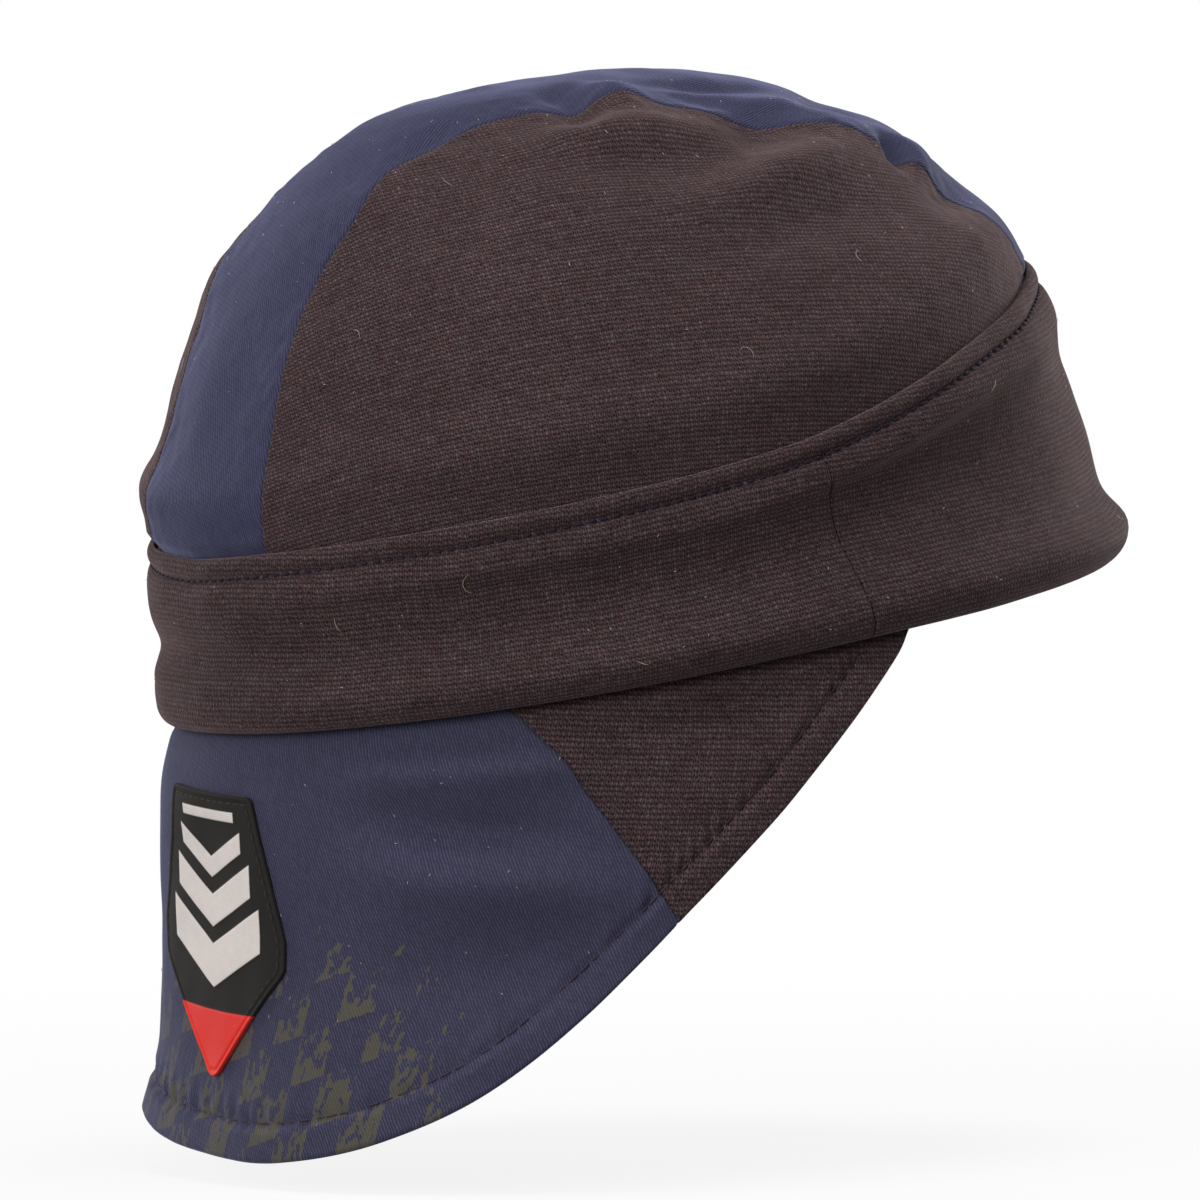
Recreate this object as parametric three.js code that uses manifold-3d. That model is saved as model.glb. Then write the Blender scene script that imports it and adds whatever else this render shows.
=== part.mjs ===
// Welding cap: a close cloth cap with a three-panel crown, a turned-up knitted band
// and a neck flap with a sewn patch.
// Millimetres, +Z up. The front faces -Y and the wearer's right is -X.
// The origin is the middle of the rim's opening. The rim's front is tilted up, as the cap is worn.
// Angles run in degrees from the front (0) past the wearer's right (90) to the back (180).

import * as THREE from "three";
import { mergeVertices } from "three/addons/utils/BufferGeometryUtils.js";
import Module from "manifold-3d";

// Head sizes, taken on the outside of the crown cloth
const RIM_TILT = 10.4;
const REACH_FRONT = 101;
const REACH_BACK = 103.5;
const HALF_WIDTH = 78;
const CROWN_HEIGHT = 117;
const TIP_BACK = 18;

// Cloth
const CROWN_CLOTH = 1.5;
const FLAP_CLOTH = 1.3;
const BAND_CLOTH = 2.4;
const SEAM_GAP = 0.3;
const TUCK = 9;

// Crown
const STRIP_HALF = 39;
const CROWN_FOLD = 2.6;
const GROOVE_DEPTH = 1.1;
const GROOVE_HEIGHT = 3;
const CROWN_FOLD_START = 12;

// Band
const BAND_BACK = 35;
const BAND_FRONT = 62;
const BAND_DROOP = 1.8;
const BAND_FOLD = 3.4;
const BAND_ROUND = 3.5;
const WELT_HEIGHT = 2.4;
const BAND_SEAM_FORWARD = 1;
const BAND_SEAM_LEAN = 6;

// Neck flap
const FLAP_DROP = 85;
const FLAP_END = 79;
const FLAP_FLARE = 5;
const FLAP_FOLD = 3;
const FLAP_FOLD_START = 0.3;
const HEM_WIDTH = 7;
const HEM_CLOTH = 2;
const HEM_LEAST = 0.25;
const GORE_TOP_BACK = 73;
const GORE_LOW_BACK = 38;
const GORE_LOW_DROP = 52;

// Patch
const PATCH_HALF = 23;
const PATCH_LENGTH = 59;
const PATCH_DROP = 12;
const PATCH_CLOTH = 1.2;

// Level sections of the crown cloth from the rim to the tip. Heights are shares of the crown's height,
// and the rest are shares of the rim's reach from the tip to the front, the back and the side.
const CROWN_SECTIONS = [
  { climb: 0.0, height: 0.0, front: 1.0, back: 0.99, side: 1.0 },
  { climb: 0.17, height: 0.256, front: 0.965, back: 0.96, side: 1.012 },
  { climb: 0.285, height: 0.427, front: 0.95, back: 0.91, side: 1.01 },
  { climb: 0.405, height: 0.598, front: 0.88, back: 0.82, side: 0.95 },
  { climb: 0.505, height: 0.726, front: 0.8, back: 0.71, side: 0.83 },
  { climb: 0.578, height: 0.812, front: 0.715, back: 0.62, side: 0.7 },
  { climb: 0.647, height: 0.872, front: 0.61, back: 0.53, side: 0.565 },
  { climb: 0.717, height: 0.923, front: 0.5, back: 0.43, side: 0.43 },
  { climb: 0.8, height: 0.966, front: 0.36, back: 0.32, side: 0.285 },
  { climb: 1.0, height: 1.0, front: 0.0, back: 0.0, side: 0.0 },
];

// Half width of the centre strip, as shares, by its place from the back (-1) to the front (1)
const STRIP_WIDTHS = [
  { along: -1.0, half: 0.59 },
  { along: -0.85, half: 0.5 },
  { along: -0.6, half: 0.53 },
  { along: -0.35, half: 0.64 },
  { along: -0.1, half: 0.84 },
  { along: 0.15, half: 0.99 },
  { along: 0.35, half: 1.07 },
  { along: 0.58, half: 1.03 },
  { along: 0.75, half: 0.95 },
  { along: 0.88, half: 0.86 },
  { along: 1.0, half: 0.81 },
];

// Soft folds of the crown: where each lies, how far it spreads, and its lift as a share
const CROWN_FOLDS = [
  { angle: 84, climb: 0.77, wide: 13, tall: 0.05, lift: 0.9 },
  { angle: 47, climb: 0.61, wide: 9, tall: 0.045, lift: 0.8 },
  { angle: 38, climb: 0.535, wide: 8, tall: 0.035, lift: 1.0 },
  { angle: 40, climb: 0.47, wide: 10, tall: 0.03, lift: -0.8 },
  { angle: 25, climb: 0.63, wide: 14, tall: 0.035, lift: -0.8 },
  { angle: 62, climb: 0.66, wide: 9, tall: 0.045, lift: -0.9 },
  { angle: 80, climb: 0.62, wide: 12, tall: 0.035, lift: -0.5 },
  { angle: 112, climb: 0.6, wide: 16, tall: 0.08, lift: 0.4 },
  { angle: 150, climb: 0.62, wide: 12, tall: 0.05, lift: 0.4 },
  { angle: 204, climb: 0.52, wide: 13, tall: 0.045, lift: 1.0 },
  { angle: 204, climb: 0.27, wide: 22, tall: 0.05, lift: 0.8 },
  { angle: 262, climb: 0.72, wide: 16, tall: 0.05, lift: 0.8 },
  { angle: 300, climb: 0.6, wide: 12, tall: 0.05, lift: 0.7 },
  { angle: 285, climb: 0.5, wide: 12, tall: 0.04, lift: -0.6 },
];

// Rise of the band's top edge from its back height (0) to its front height (1), and the share
// of the droop by which its bottom edge hangs under the rim
const BAND_EDGES = [
  { angle: 0, rise: 1.0, droop: 1.0 },
  { angle: 30, rise: 0.92, droop: 0.9 },
  { angle: 60, rise: 0.65, droop: 0.5 },
  { angle: 90, rise: 0.27, droop: 0.0 },
  { angle: 120, rise: 0.13, droop: 0.0 },
  { angle: 150, rise: 0.06, droop: 0.0 },
  { angle: 180, rise: 0.0, droop: 0.0 },
];

// The band's rounded bottom edge, up from the edge in shares of its rounding
const BAND_EDGE = [
  { up: 0.0, out: 0.4 },
  { up: 0.35, out: 0.85 },
  { up: 1.0, out: 1.0 },
];

// The welt at the band's top edge, down from the edge in shares of its height
const WELT_FACE = [
  { down: 2.6, out: 0.95 },
  { down: 1.9, out: 0.62 },
  { down: 1.2, out: 1.05 },
  { down: 0.55, out: 1.25 },
  { down: 0.0, out: 0.6 },
];

// Soft folds of the band
const BAND_FOLDS = [
  { angle: 180, up: 0.42, wide: 42, tall: 0.15, lift: -0.85 },
  { angle: 95, up: 0.5, wide: 36, tall: 0.16, lift: -0.4 },
  { angle: 265, up: 0.48, wide: 36, tall: 0.16, lift: -0.45 },
  { angle: 12, up: 0.07, wide: 38, tall: 0.1, lift: 1.1 },
  { angle: 120, up: 0.2, wide: 30, tall: 0.12, lift: 0.25 },
  { angle: 245, up: 0.2, wide: 30, tall: 0.12, lift: 0.3 },
  { angle: 15, up: 0.4, wide: 40, tall: 0.14, lift: 0.35 },
  { angle: 10, up: 0.7, wide: 40, tall: 0.1, lift: -0.5 },
];

// How far the flap's hem hangs below the rim, as shares of its drop, by the place round the flap
// from its right end (-1) past the back (0) to its left end (1)
const HEM_DROPS = [
  { round: -1.0, drop: 0.02 },
  { round: -0.91, drop: 0.165 },
  { round: -0.84, drop: 0.3 },
  { round: -0.71, drop: 0.525 },
  { round: -0.59, drop: 0.73 },
  { round: -0.47, drop: 0.88 },
  { round: -0.34, drop: 0.965 },
  { round: -0.18, drop: 1.0 },
  { round: 0.0, drop: 0.985 },
  { round: 0.14, drop: 0.965 },
  { round: 0.26, drop: 0.935 },
  { round: 0.38, drop: 0.915 },
  { round: 0.49, drop: 0.86 },
  { round: 0.59, drop: 0.73 },
  { round: 0.71, drop: 0.525 },
  { round: 0.84, drop: 0.3 },
  { round: 0.91, drop: 0.165 },
  { round: 1.0, drop: 0.02 },
];

// How far the flap stands out from the rim on its way down, as shares
const FLAP_FLARES = [
  { drop: 0.0, out: 0.0 },
  { drop: 0.12, out: 0.4 },
  { drop: 0.6, out: 0.6 },
  { drop: 0.85, out: 0.75 },
  { drop: 1.0, out: 0.9 },
];

// Soft folds of the flap, by the angle and the share of the drop
const FLAP_FOLDS = [
  { angle: 180, drop: 0.6, wide: 18, tall: 0.55, lift: -1.5 },
  { angle: 206, drop: 0.98, wide: 14, tall: 0.12, lift: 0.8 },
  { angle: 150, drop: 0.9, wide: 12, tall: 0.4, lift: 0.4 },
  { angle: 128, drop: 0.55, wide: 9, tall: 0.3, lift: -0.5 },
  { angle: 112, drop: 0.35, wide: 9, tall: 0.3, lift: 0.5 },
  { angle: 232, drop: 0.5, wide: 10, tall: 0.3, lift: -0.5 },
  { angle: 250, drop: 0.3, wide: 9, tall: 0.3, lift: 0.4 },
];

// The patch's outline: half widths as shares, by the share of its length
const PATCH_OUTLINE = [
  { down: 0.0, half: 0.64 },
  { down: 0.28, half: 0.82 },
  { down: 0.56, half: 1.0 },
  { down: 0.66, half: 1.0 },
  { down: 0.83, half: 0.52 },
  { down: 1.0, half: 0.03 },
];

// Mesh fineness and reach of the cutting blocks
const CROWN_COLUMNS = 56;
const CROWN_ROWS = 14;
const BAND_COLUMNS = 64;
const BAND_ROWS = 4;
const FLAP_COLUMNS = 40;
const FLAP_ROWS = 8;
const HEM_ROWS = 2;
const PATCH_COLUMNS = 6;
const PATCH_ROWS = 12;
const BLOCK_REACH = 2.5 * REACH_BACK;
const BLOCK_STEPS = 26;
const PROBE = 1e-3;
const WELD = 1e-4;
const HALVINGS = 30;
const TIP_ZONE = 0.9;
const TIP_PROBE = 0.98;

const { degToRad, clamp, lerp, smoothstep } = THREE.MathUtils;

// Reads the rows of a table smoothly at one value of its first column.
function read(rows, at) {
  const [key, ...columns] = Object.keys(rows[0]);
  const place = clamp(at, rows[0][key], rows.at(-1)[key]);
  let low = 0;
  while (low < rows.length - 2 && rows[low + 1][key] <= place) low += 1;
  const span = (row) => rows[row + 1][key] - rows[row][key];
  const rate = (row, column) => (rows[row + 1][column] - rows[row][column]) / span(row);
  const slope = (row, column) => {
    if (row === 0) return rate(0, column);
    if (row === rows.length - 1) return rate(row - 1, column);
    const [before, after] = [span(row - 1), span(row)];
    return (rate(row - 1, column) * after + rate(row, column) * before) / (before + after);
  };
  const width = span(low);
  const t = (place - rows[low][key]) / width;
  const found = {};
  for (const column of columns) {
    const start = rows[low][column];
    const end = rows[low + 1][column];
    const climb = width * t * (1 - t) * ((1 - t) * slope(low, column) - t * slope(low + 1, column));
    found[column] = lerp(start, end, t * t * (3 - 2 * t)) + climb;
  }
  return found;
}

// Turns a place given by side, forward and up on the rim into the cap's frame.
function tilted(side, forward, up) {
  const tilt = degToRad(RIM_TILT);
  const back = up * Math.sin(tilt) - forward * Math.cos(tilt);
  return new THREE.Vector3(-side, back, forward * Math.sin(tilt) + up * Math.cos(tilt));
}

// The smooth head form under all the cloth.
function form(angle, climb) {
  const section = read(CROWN_SECTIONS, climb);
  const front = section.front * (REACH_FRONT + TIP_BACK) - TIP_BACK;
  const back = section.back * (REACH_BACK - TIP_BACK) + TIP_BACK;
  const turn = degToRad(angle);
  const forward = (front - back) / 2 + ((front + back) / 2) * Math.cos(turn);
  const side = section.side * HALF_WIDTH * Math.sin(turn);
  return tilted(side, forward, section.height * CROWN_HEIGHT);
}

function formNormal(angle, climb) {
  const low = Math.min(climb, TIP_PROBE);
  const round = form(angle + PROBE, low).sub(form(angle - PROBE, low));
  const rise = form(angle, low + PROBE).sub(form(angle, Math.max(low - PROBE, 0)));
  const blend = smoothstep(climb, TIP_ZONE, 1);
  return rise.cross(round).normalize().lerp(tilted(0, 0, 1), blend).normalize();
}

function formLifted(angle, climb, lift) {
  return form(angle, climb).addScaledVector(formNormal(angle, climb), lift);
}

// A point over the form by its height. A height below nothing hangs straight under the rim.
function formAtHeight(angle, height, lift) {
  const under = tilted(0, 0, Math.min(height, 0));
  return formLifted(angle, climbAt(Math.max(height, 0)), lift).add(under);
}

// The climb at which the form stands at a height over the rim.
function climbAt(height) {
  let low = 0;
  let high = 1;
  for (let turn = 0; turn < HALVINGS; turn += 1) {
    const middle = (low + high) / 2;
    if (read(CROWN_SECTIONS, middle).height * CROWN_HEIGHT < height) low = middle;
    else high = middle;
  }
  return low;
}

// Adds up the soft folds of a table at an angle and a share of the way up or down.
function foldLift(folds, way, angle, at) {
  let lift = 0;
  for (const fold of folds) {
    const apart = ((angle - fold.angle + 540) % 360) - 180;
    const round = apart / fold.wide;
    const along = (at - fold[way]) / fold.tall;
    lift += fold.lift * Math.exp(-round * round - along * along);
  }
  return lift;
}

// Angles past the back mirror those before it.
function mirrored(angle) {
  const turn = ((angle % 360) + 360) % 360;
  return Math.min(turn, 360 - turn);
}

function bandTop(angle) {
  return lerp(BAND_BACK, BAND_FRONT, read(BAND_EDGES, mirrored(angle)).rise);
}

function bandBottom(angle) {
  return -BAND_DROOP * read(BAND_EDGES, mirrored(angle)).droop;
}

// The crown cloth: its soft folds fade out at the band, where it dips into a groove.
function crownLift(angle, climb) {
  const above = read(CROWN_SECTIONS, climb).height * CROWN_HEIGHT - bandTop(angle);
  const folds = CROWN_FOLD * foldLift(CROWN_FOLDS, "climb", angle, climb);
  const groove = Math.exp(-(((above - GROOVE_HEIGHT) / GROOVE_HEIGHT) ** 2));
  return folds * smoothstep(above, 0, CROWN_FOLD_START) - GROOVE_DEPTH * groove;
}

// The band dents only where no other cloth lies behind it, between the two tucks.
function bandLift(angle, height) {
  const top = bandTop(angle);
  const lift = BAND_FOLD * foldLift(BAND_FOLDS, "up", angle, height / top);
  const fromTuck = Math.min(height, top - height) - TUCK;
  return lift > 0 ? lift : lift * smoothstep(fromTuck, 0, TUCK / 2);
}

// A point of the flap's sheet, by its drop under the rim. A drop below nothing is behind the band.
function flapPoint(angle, drop, lift) {
  if (drop <= 0) return formAtHeight(angle, -drop, lift);
  const share = drop / FLAP_DROP;
  const away = formNormal(angle, 0).setZ(0).normalize();
  const flare = FLAP_FLARE * read(FLAP_FLARES, share).out;
  const fold = FLAP_FOLD * foldLift(FLAP_FOLDS, "drop", angle, share) * smoothstep(share, 0, FLAP_FOLD_START);
  const point = form(angle, 0).addScaledVector(away, flare + fold + lift);
  return point.setZ(point.z - drop);
}

function hemDrop(angle) {
  return FLAP_DROP * read(HEM_DROPS, (angle - 180) / (180 - FLAP_END)).drop;
}

// The hem's height up a column of the flap, longer where the edge runs steeply.
function hemRise(angle) {
  const step = form(angle + 1, 0).distanceTo(form(angle - 1, 0));
  const slope = (hemDrop(angle + 1) - hemDrop(angle - 1)) / step;
  return HEM_WIDTH * Math.hypot(1, slope);
}

// Makes one closed body from rings of points. Each row holds a loop round the body.
function solidFromLoops(loops, wraps) {
  const points = [];
  const faces = [];
  const round = loops[0].length;
  for (const loop of loops) for (const point of loop) points.push(point.x, point.y, point.z);
  const last = wraps ? loops.length : loops.length - 1;
  for (let row = 0; row < last; row += 1) {
    for (let column = 0; column < round; column += 1) {
      const a = row * round + column;
      const b = row * round + ((column + 1) % round);
      const c = ((row + 1) % loops.length) * round + ((column + 1) % round);
      const d = ((row + 1) % loops.length) * round + column;
      faces.push(a, b, c, a, c, d);
    }
  }
  if (!wraps) {
    for (const [start, flip] of [[0, true], [(loops.length - 1) * round, false]]) {
      for (let low = 0, high = round - 1; high - low > 1; ) {
        const third = (low + high) % 2 ? low + 1 : high - 1;
        const face = [start + low, start + high, start + third];
        faces.push(...(flip ? face : face.reverse()));
        if (third === low + 1) low += 1;
        else high -= 1;
      }
    }
  }
  return welded(points, faces);
}

// Joins equal points, drops faces with no area and turns the faces outward.
function welded(points, faces) {
  const loose = new THREE.BufferGeometry();
  loose.setAttribute("position", new THREE.Float32BufferAttribute(points, 3));
  loose.setIndex(faces);
  const joined = mergeVertices(loose, WELD);
  const index = joined.getIndex().array;
  const at = joined.getAttribute("position");
  const corner = [new THREE.Vector3(), new THREE.Vector3(), new THREE.Vector3()];
  const kept = [];
  let volume = 0;
  for (let face = 0; face < index.length; face += 3) {
    const [a, b, c] = index.slice(face, face + 3);
    if (a === b || b === c || c === a) continue;
    corner.forEach((point, n) => point.fromBufferAttribute(at, [a, b, c][n]));
    volume += corner[0].dot(corner[1].clone().cross(corner[2]));
    kept.push(a, b, c);
  }
  if (volume < 0) kept.reverse();
  joined.setIndex(kept);
  return joined;
}

const wasm = await Module();
wasm.setup();

function toManifold(geometry) {
  const bare = new THREE.BufferGeometry();
  bare.setAttribute("position", geometry.getAttribute("position").clone());
  if (geometry.getIndex()) bare.setIndex(geometry.getIndex().clone());
  const joined = mergeVertices(bare, WELD);
  const vertProperties = new Float32Array(joined.getAttribute("position").array);
  const triVerts = new Uint32Array(joined.getIndex().array);
  return new wasm.Manifold(new wasm.Mesh({ numProp: 3, vertProperties, triVerts }));
}

function toGeometry(solid) {
  const { vertProperties, triVerts } = solid.getMesh();
  const geometry = new THREE.BufferGeometry();
  geometry.setAttribute("position", new THREE.BufferAttribute(vertProperties, 3));
  geometry.setIndex(new THREE.BufferAttribute(triVerts, 1));
  return geometry;
}

// Keeps the part of a body that lies inside a block.
function kept(body, block) {
  return toGeometry(toManifold(body).intersect(toManifold(block)));
}

// A block that stands on an outline, given by its side and back places, as seen from above.
function uprightBlock(outline) {
  const shape = new THREE.Shape(outline.map(([x, y]) => new THREE.Vector2(x, y)));
  const block = new THREE.ExtrudeGeometry(shape, { depth: 2 * BLOCK_REACH, bevelEnabled: false });
  return block.translate(0, 0, -BLOCK_REACH);
}

// A block that runs across the cap on an outline of back and up places, as seen from one side.
function crossBlock(outline, from = -BLOCK_REACH, to = BLOCK_REACH) {
  const shape = new THREE.Shape(outline.map(([y, z]) => new THREE.Vector2(y, z)));
  const block = new THREE.ExtrudeGeometry(shape, { depth: to - from, bevelEnabled: false });
  const turn = new THREE.Matrix4().makeBasis(
    new THREE.Vector3(0, 1, 0),
    new THREE.Vector3(0, 0, 1),
    new THREE.Vector3(1, 0, 0),
  );
  return block.translate(0, 0, from).applyMatrix4(turn);
}

// The strip's edge, as side and back places, moved out by a clearance.
function stripEdge(side, clearance) {
  const edge = [];
  for (let step = 0; step <= BLOCK_STEPS; step += 1) {
    const along = lerp(-1, 1, step / BLOCK_STEPS);
    const half = STRIP_HALF * read(STRIP_WIDTHS, along).half + clearance;
    edge.push([side * half, -along * (along < 0 ? REACH_BACK : REACH_FRONT)]);
  }
  const [first, last] = [edge[0], edge.at(-1)];
  return [[first[0], BLOCK_REACH], ...edge, [last[0], -BLOCK_REACH]];
}

function stripBlock() {
  return uprightBlock([...stripEdge(1, -SEAM_GAP / 2), ...stripEdge(-1, -SEAM_GAP / 2).reverse()]);
}

function sideBlock(side) {
  const far = side * BLOCK_REACH;
  return uprightBlock([...stripEdge(side, SEAM_GAP / 2), [far, -BLOCK_REACH], [far, BLOCK_REACH]]);
}

// The whole crown as one shell, open underneath.
function crownShell() {
  const loops = [];
  for (let column = 0; column < CROWN_COLUMNS; column += 1) {
    const angle = (360 * column) / CROWN_COLUMNS;
    const low = climbAt(bandTop(angle) - TUCK);
    const climbs = [];
    for (let row = 0; row <= CROWN_ROWS; row += 1) climbs.push(lerp(low, 1, row / CROWN_ROWS));
    const outside = climbs.map((climb) => formLifted(angle, climb, crownLift(angle, climb)));
    const inside = climbs.map((climb) =>
      formLifted(angle, climb, crownLift(angle, climb) - CROWN_CLOTH),
    );
    loops.push([...outside, ...inside.reverse()]);
  }
  return shellFromColumns(loops);
}

// A shell whose columns all meet at one point outside and one inside.
function shellFromColumns(columns) {
  const points = [];
  const faces = [];
  const tall = columns[0].length;
  for (const column of columns) for (const point of column) points.push(point.x, point.y, point.z);
  columns.forEach((_, here) => {
    const next = (here + 1) % columns.length;
    for (let row = 0; row < tall; row += 1) {
      const above = (row + 1) % tall;
      if (row === tall / 2 - 1) continue;
      const [a, b] = [here * tall + row, next * tall + row];
      const [c, d] = [next * tall + above, here * tall + above];
      faces.push(a, b, c, a, c, d);
    }
  });
  return welded(points, faces);
}

// The heights and standoffs of the band's outer face at one angle. Rows stand at both tucks.
function bandProfile(angle) {
  const top = bandTop(angle);
  const low = bandBottom(angle);
  const edge = BAND_EDGE.map(({ up, out }) => ({ height: low + up * BAND_ROUND, out }));
  const welt = WELT_FACE.map(({ down, out }) => ({ height: top - down * WELT_HEIGHT, out }));
  const face = [];
  for (let row = 0; row <= BAND_ROWS; row += 1) {
    face.push({ height: lerp(TUCK, top - TUCK, row / BAND_ROWS), out: 1 });
  }
  return [...edge, ...face, ...welt];
}

// The band as one ring: its inside follows the head form and its outside bulges and has the welt.
function bandRing() {
  const loops = [];
  for (let column = 0; column < BAND_COLUMNS; column += 1) {
    const angle = (360 * column) / BAND_COLUMNS;
    const profile = bandProfile(angle);
    const layer = (height, out) =>
      formAtHeight(angle, height, SEAM_GAP + out * BAND_CLOTH + bandLift(angle, height));
    const outside = profile.map(({ height, out }) => layer(height, out));
    const inside = profile.map(({ height }) => layer(height, 0));
    loops.push([...outside, ...inside.reverse()]);
  }
  return solidFromLoops(loops, true);
}

// The block before or behind the band's side seams, which lean forward on their way down.
function bandBlock(front) {
  const clearance = front ? SEAM_GAP / 2 : -SEAM_GAP / 2;
  const seam = (height) => {
    const forward = BAND_SEAM_FORWARD + BAND_SEAM_LEAN * (1 - height / bandTop(90)) + clearance;
    const { y, z } = tilted(0, forward, height);
    return [y, z];
  };
  const far = front ? -BLOCK_REACH : BLOCK_REACH;
  const [low, high] = [seam(-BAND_FRONT), seam(2 * BAND_FRONT)];
  return crossBlock([low, high, [far, high[1]], [far, low[1]]]);
}

// The whole flap as one sheet with a thicker hem.
function flapSheet() {
  const loops = [];
  for (let column = 0; column <= FLAP_COLUMNS; column += 1) {
    const angle = lerp(FLAP_END, 360 - FLAP_END, column / FLAP_COLUMNS);
    const edge = hemDrop(angle);
    const fold = Math.max(edge - hemRise(angle), edge * HEM_LEAST);
    const rows = [{ drop: -TUCK, cloth: FLAP_CLOTH }];
    for (let row = 0; row <= FLAP_ROWS; row += 1) {
      rows.push({ drop: lerp(0, fold, row / FLAP_ROWS), cloth: FLAP_CLOTH });
    }
    for (let row = 1; row <= HEM_ROWS; row += 1) {
      rows.push({ drop: lerp(fold, edge, row / HEM_ROWS), cloth: HEM_CLOTH });
    }
    const outside = rows.map(({ drop }) => flapPoint(angle, drop, 0));
    const inside = rows.map(({ drop, cloth }) => flapPoint(angle, drop, -cloth));
    loops.push([...outside, ...inside.reverse()]);
  }
  return solidFromLoops(loops, false);
}

// The gore seam's back place at a height, from under the band to the hem.
function goreBack(up, clearance) {
  const slope = (GORE_TOP_BACK - GORE_LOW_BACK) / GORE_LOW_DROP;
  return GORE_TOP_BACK + slope * up + clearance;
}

function flapCentreBlock() {
  const [high, low] = [BAND_FRONT, -2 * FLAP_DROP];
  const near = (up) => [goreBack(up, SEAM_GAP / 2), up];
  return crossBlock([near(low), near(high), [BLOCK_REACH, high], [BLOCK_REACH, low]]);
}

function goreBlock(side) {
  const [high, low] = [BAND_FRONT, -2 * FLAP_DROP];
  const near = (up) => [goreBack(up, -SEAM_GAP / 2), up];
  const outline = [near(low), near(high), [-BLOCK_REACH, high], [-BLOCK_REACH, low]];
  return side > 0 ? crossBlock(outline, 0) : crossBlock(outline, -BLOCK_REACH, 0);
}

// The patch as a plate that follows the flap.
function patchPlate() {
  const loops = [];
  for (let row = 0; row <= PATCH_ROWS; row += 1) {
    const down = row / PATCH_ROWS;
    const half = PATCH_HALF * read(PATCH_OUTLINE, down).half;
    const layer = (column, lift) => {
      const across = lerp(-half, half, column / PATCH_COLUMNS);
      const angle = 180 - THREE.MathUtils.radToDeg(across / HALF_WIDTH);
      return flapPoint(angle, PATCH_DROP + down * PATCH_LENGTH, lift);
    };
    const columns = Array.from({ length: PATCH_COLUMNS + 1 }, (_, column) => column);
    const outside = columns.map((column) => layer(column, SEAM_GAP + PATCH_CLOTH));
    const inside = columns.map((column) => layer(column, SEAM_GAP));
    loops.push([...outside, ...inside.reverse()]);
  }
  return solidFromLoops(loops, false);
}

const KNIT = { color: 0x453839, roughness: 0.92, metalness: 0 };
const TWILL = { color: 0x434258, roughness: 0.86, metalness: 0 };
const PRINTED_TWILL = { color: 0x3b3b4d, roughness: 0.86, metalness: 0 };
const PATCH_FACE = { color: 0x2d2b28, roughness: 0.7, metalness: 0 };

const cap = new THREE.Group();
const crown = crownShell();
const band = bandRing();
const flap = flapSheet();
const pieces = [
  ["crown_centre_strip", kept(crown, stripBlock()), TWILL],
  ["crown_side_right", kept(crown, sideBlock(-1)), KNIT],
  ["crown_side_left", kept(crown, sideBlock(1)), KNIT],
  ["band_front", kept(band, bandBlock(true)), KNIT],
  ["band_back", kept(band, bandBlock(false)), KNIT],
  ["neck_flap_centre", kept(flap, flapCentreBlock()), PRINTED_TWILL],
  ["flap_gore_right", kept(flap, goreBlock(-1)), KNIT],
  ["flap_gore_left", kept(flap, goreBlock(1)), KNIT],
  ["patch", patchPlate(), PATCH_FACE],
];
for (const [name, geometry, finish] of pieces) {
  const mesh = new THREE.Mesh(geometry, new THREE.MeshStandardMaterial(finish));
  mesh.name = name;
  cap.add(mesh);
}

export default cap;
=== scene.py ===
"""Welding cap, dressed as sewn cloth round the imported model.

The cap hangs as a head holds it, with its neck flap below the rim. Each cloth panel is a fine shell
that follows the same head form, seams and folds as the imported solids, in the same frame and in metres.
The front faces -Y, the wearer's right is -X, and angles run in degrees from the front (0) past the
wearer's right (90) to the back (180).
"""

import logging
import math
from collections.abc import Callable
from dataclasses import dataclass
from enum import Enum
from functools import cached_property

import bpy
import numpy as np
from mathutils import Matrix, Vector, kdtree


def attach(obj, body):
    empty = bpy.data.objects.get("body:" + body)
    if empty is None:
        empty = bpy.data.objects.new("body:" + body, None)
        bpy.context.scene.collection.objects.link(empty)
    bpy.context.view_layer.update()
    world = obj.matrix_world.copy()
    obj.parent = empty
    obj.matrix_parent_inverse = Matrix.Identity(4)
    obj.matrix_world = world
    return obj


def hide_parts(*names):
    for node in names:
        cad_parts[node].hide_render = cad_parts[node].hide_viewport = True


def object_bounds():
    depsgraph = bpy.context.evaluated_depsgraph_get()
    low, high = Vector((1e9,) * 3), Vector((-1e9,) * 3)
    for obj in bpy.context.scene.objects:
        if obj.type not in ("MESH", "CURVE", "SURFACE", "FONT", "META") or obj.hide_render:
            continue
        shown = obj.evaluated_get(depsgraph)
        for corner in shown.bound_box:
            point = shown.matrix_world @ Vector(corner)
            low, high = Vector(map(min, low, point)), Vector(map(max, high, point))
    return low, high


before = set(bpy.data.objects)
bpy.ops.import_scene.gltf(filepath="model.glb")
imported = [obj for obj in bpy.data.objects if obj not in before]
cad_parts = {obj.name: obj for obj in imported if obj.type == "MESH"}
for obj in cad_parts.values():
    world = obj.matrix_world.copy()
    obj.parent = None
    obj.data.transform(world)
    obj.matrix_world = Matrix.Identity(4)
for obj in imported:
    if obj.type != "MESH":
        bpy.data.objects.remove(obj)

CAD_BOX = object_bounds()
MM = 0.001
LOG = logging.getLogger("welding_cap")

Grid = np.ndarray
Node = bpy.types.Node
Socket = bpy.types.NodeSocket
Piece = bpy.types.Object
Colour = tuple[float, float, float, float]
Rows = tuple[tuple[float, ...], ...]
TINY = 1e-9


class Slot(Enum):
    """The record's material slots."""

    NAVY_TWILL = "navy_twill"
    BROWN_KNIT = "brown_knit"
    BAND_KNIT = "band_knit"
    PRINTED_TWILL = "printed_twill"
    PATCH = "patch"


class Hold(Enum):
    """How a sheet of cloth is held."""

    STRETCHED = "stretched"
    FOLDED = "folded"
    HUNG = "hung"


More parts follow.
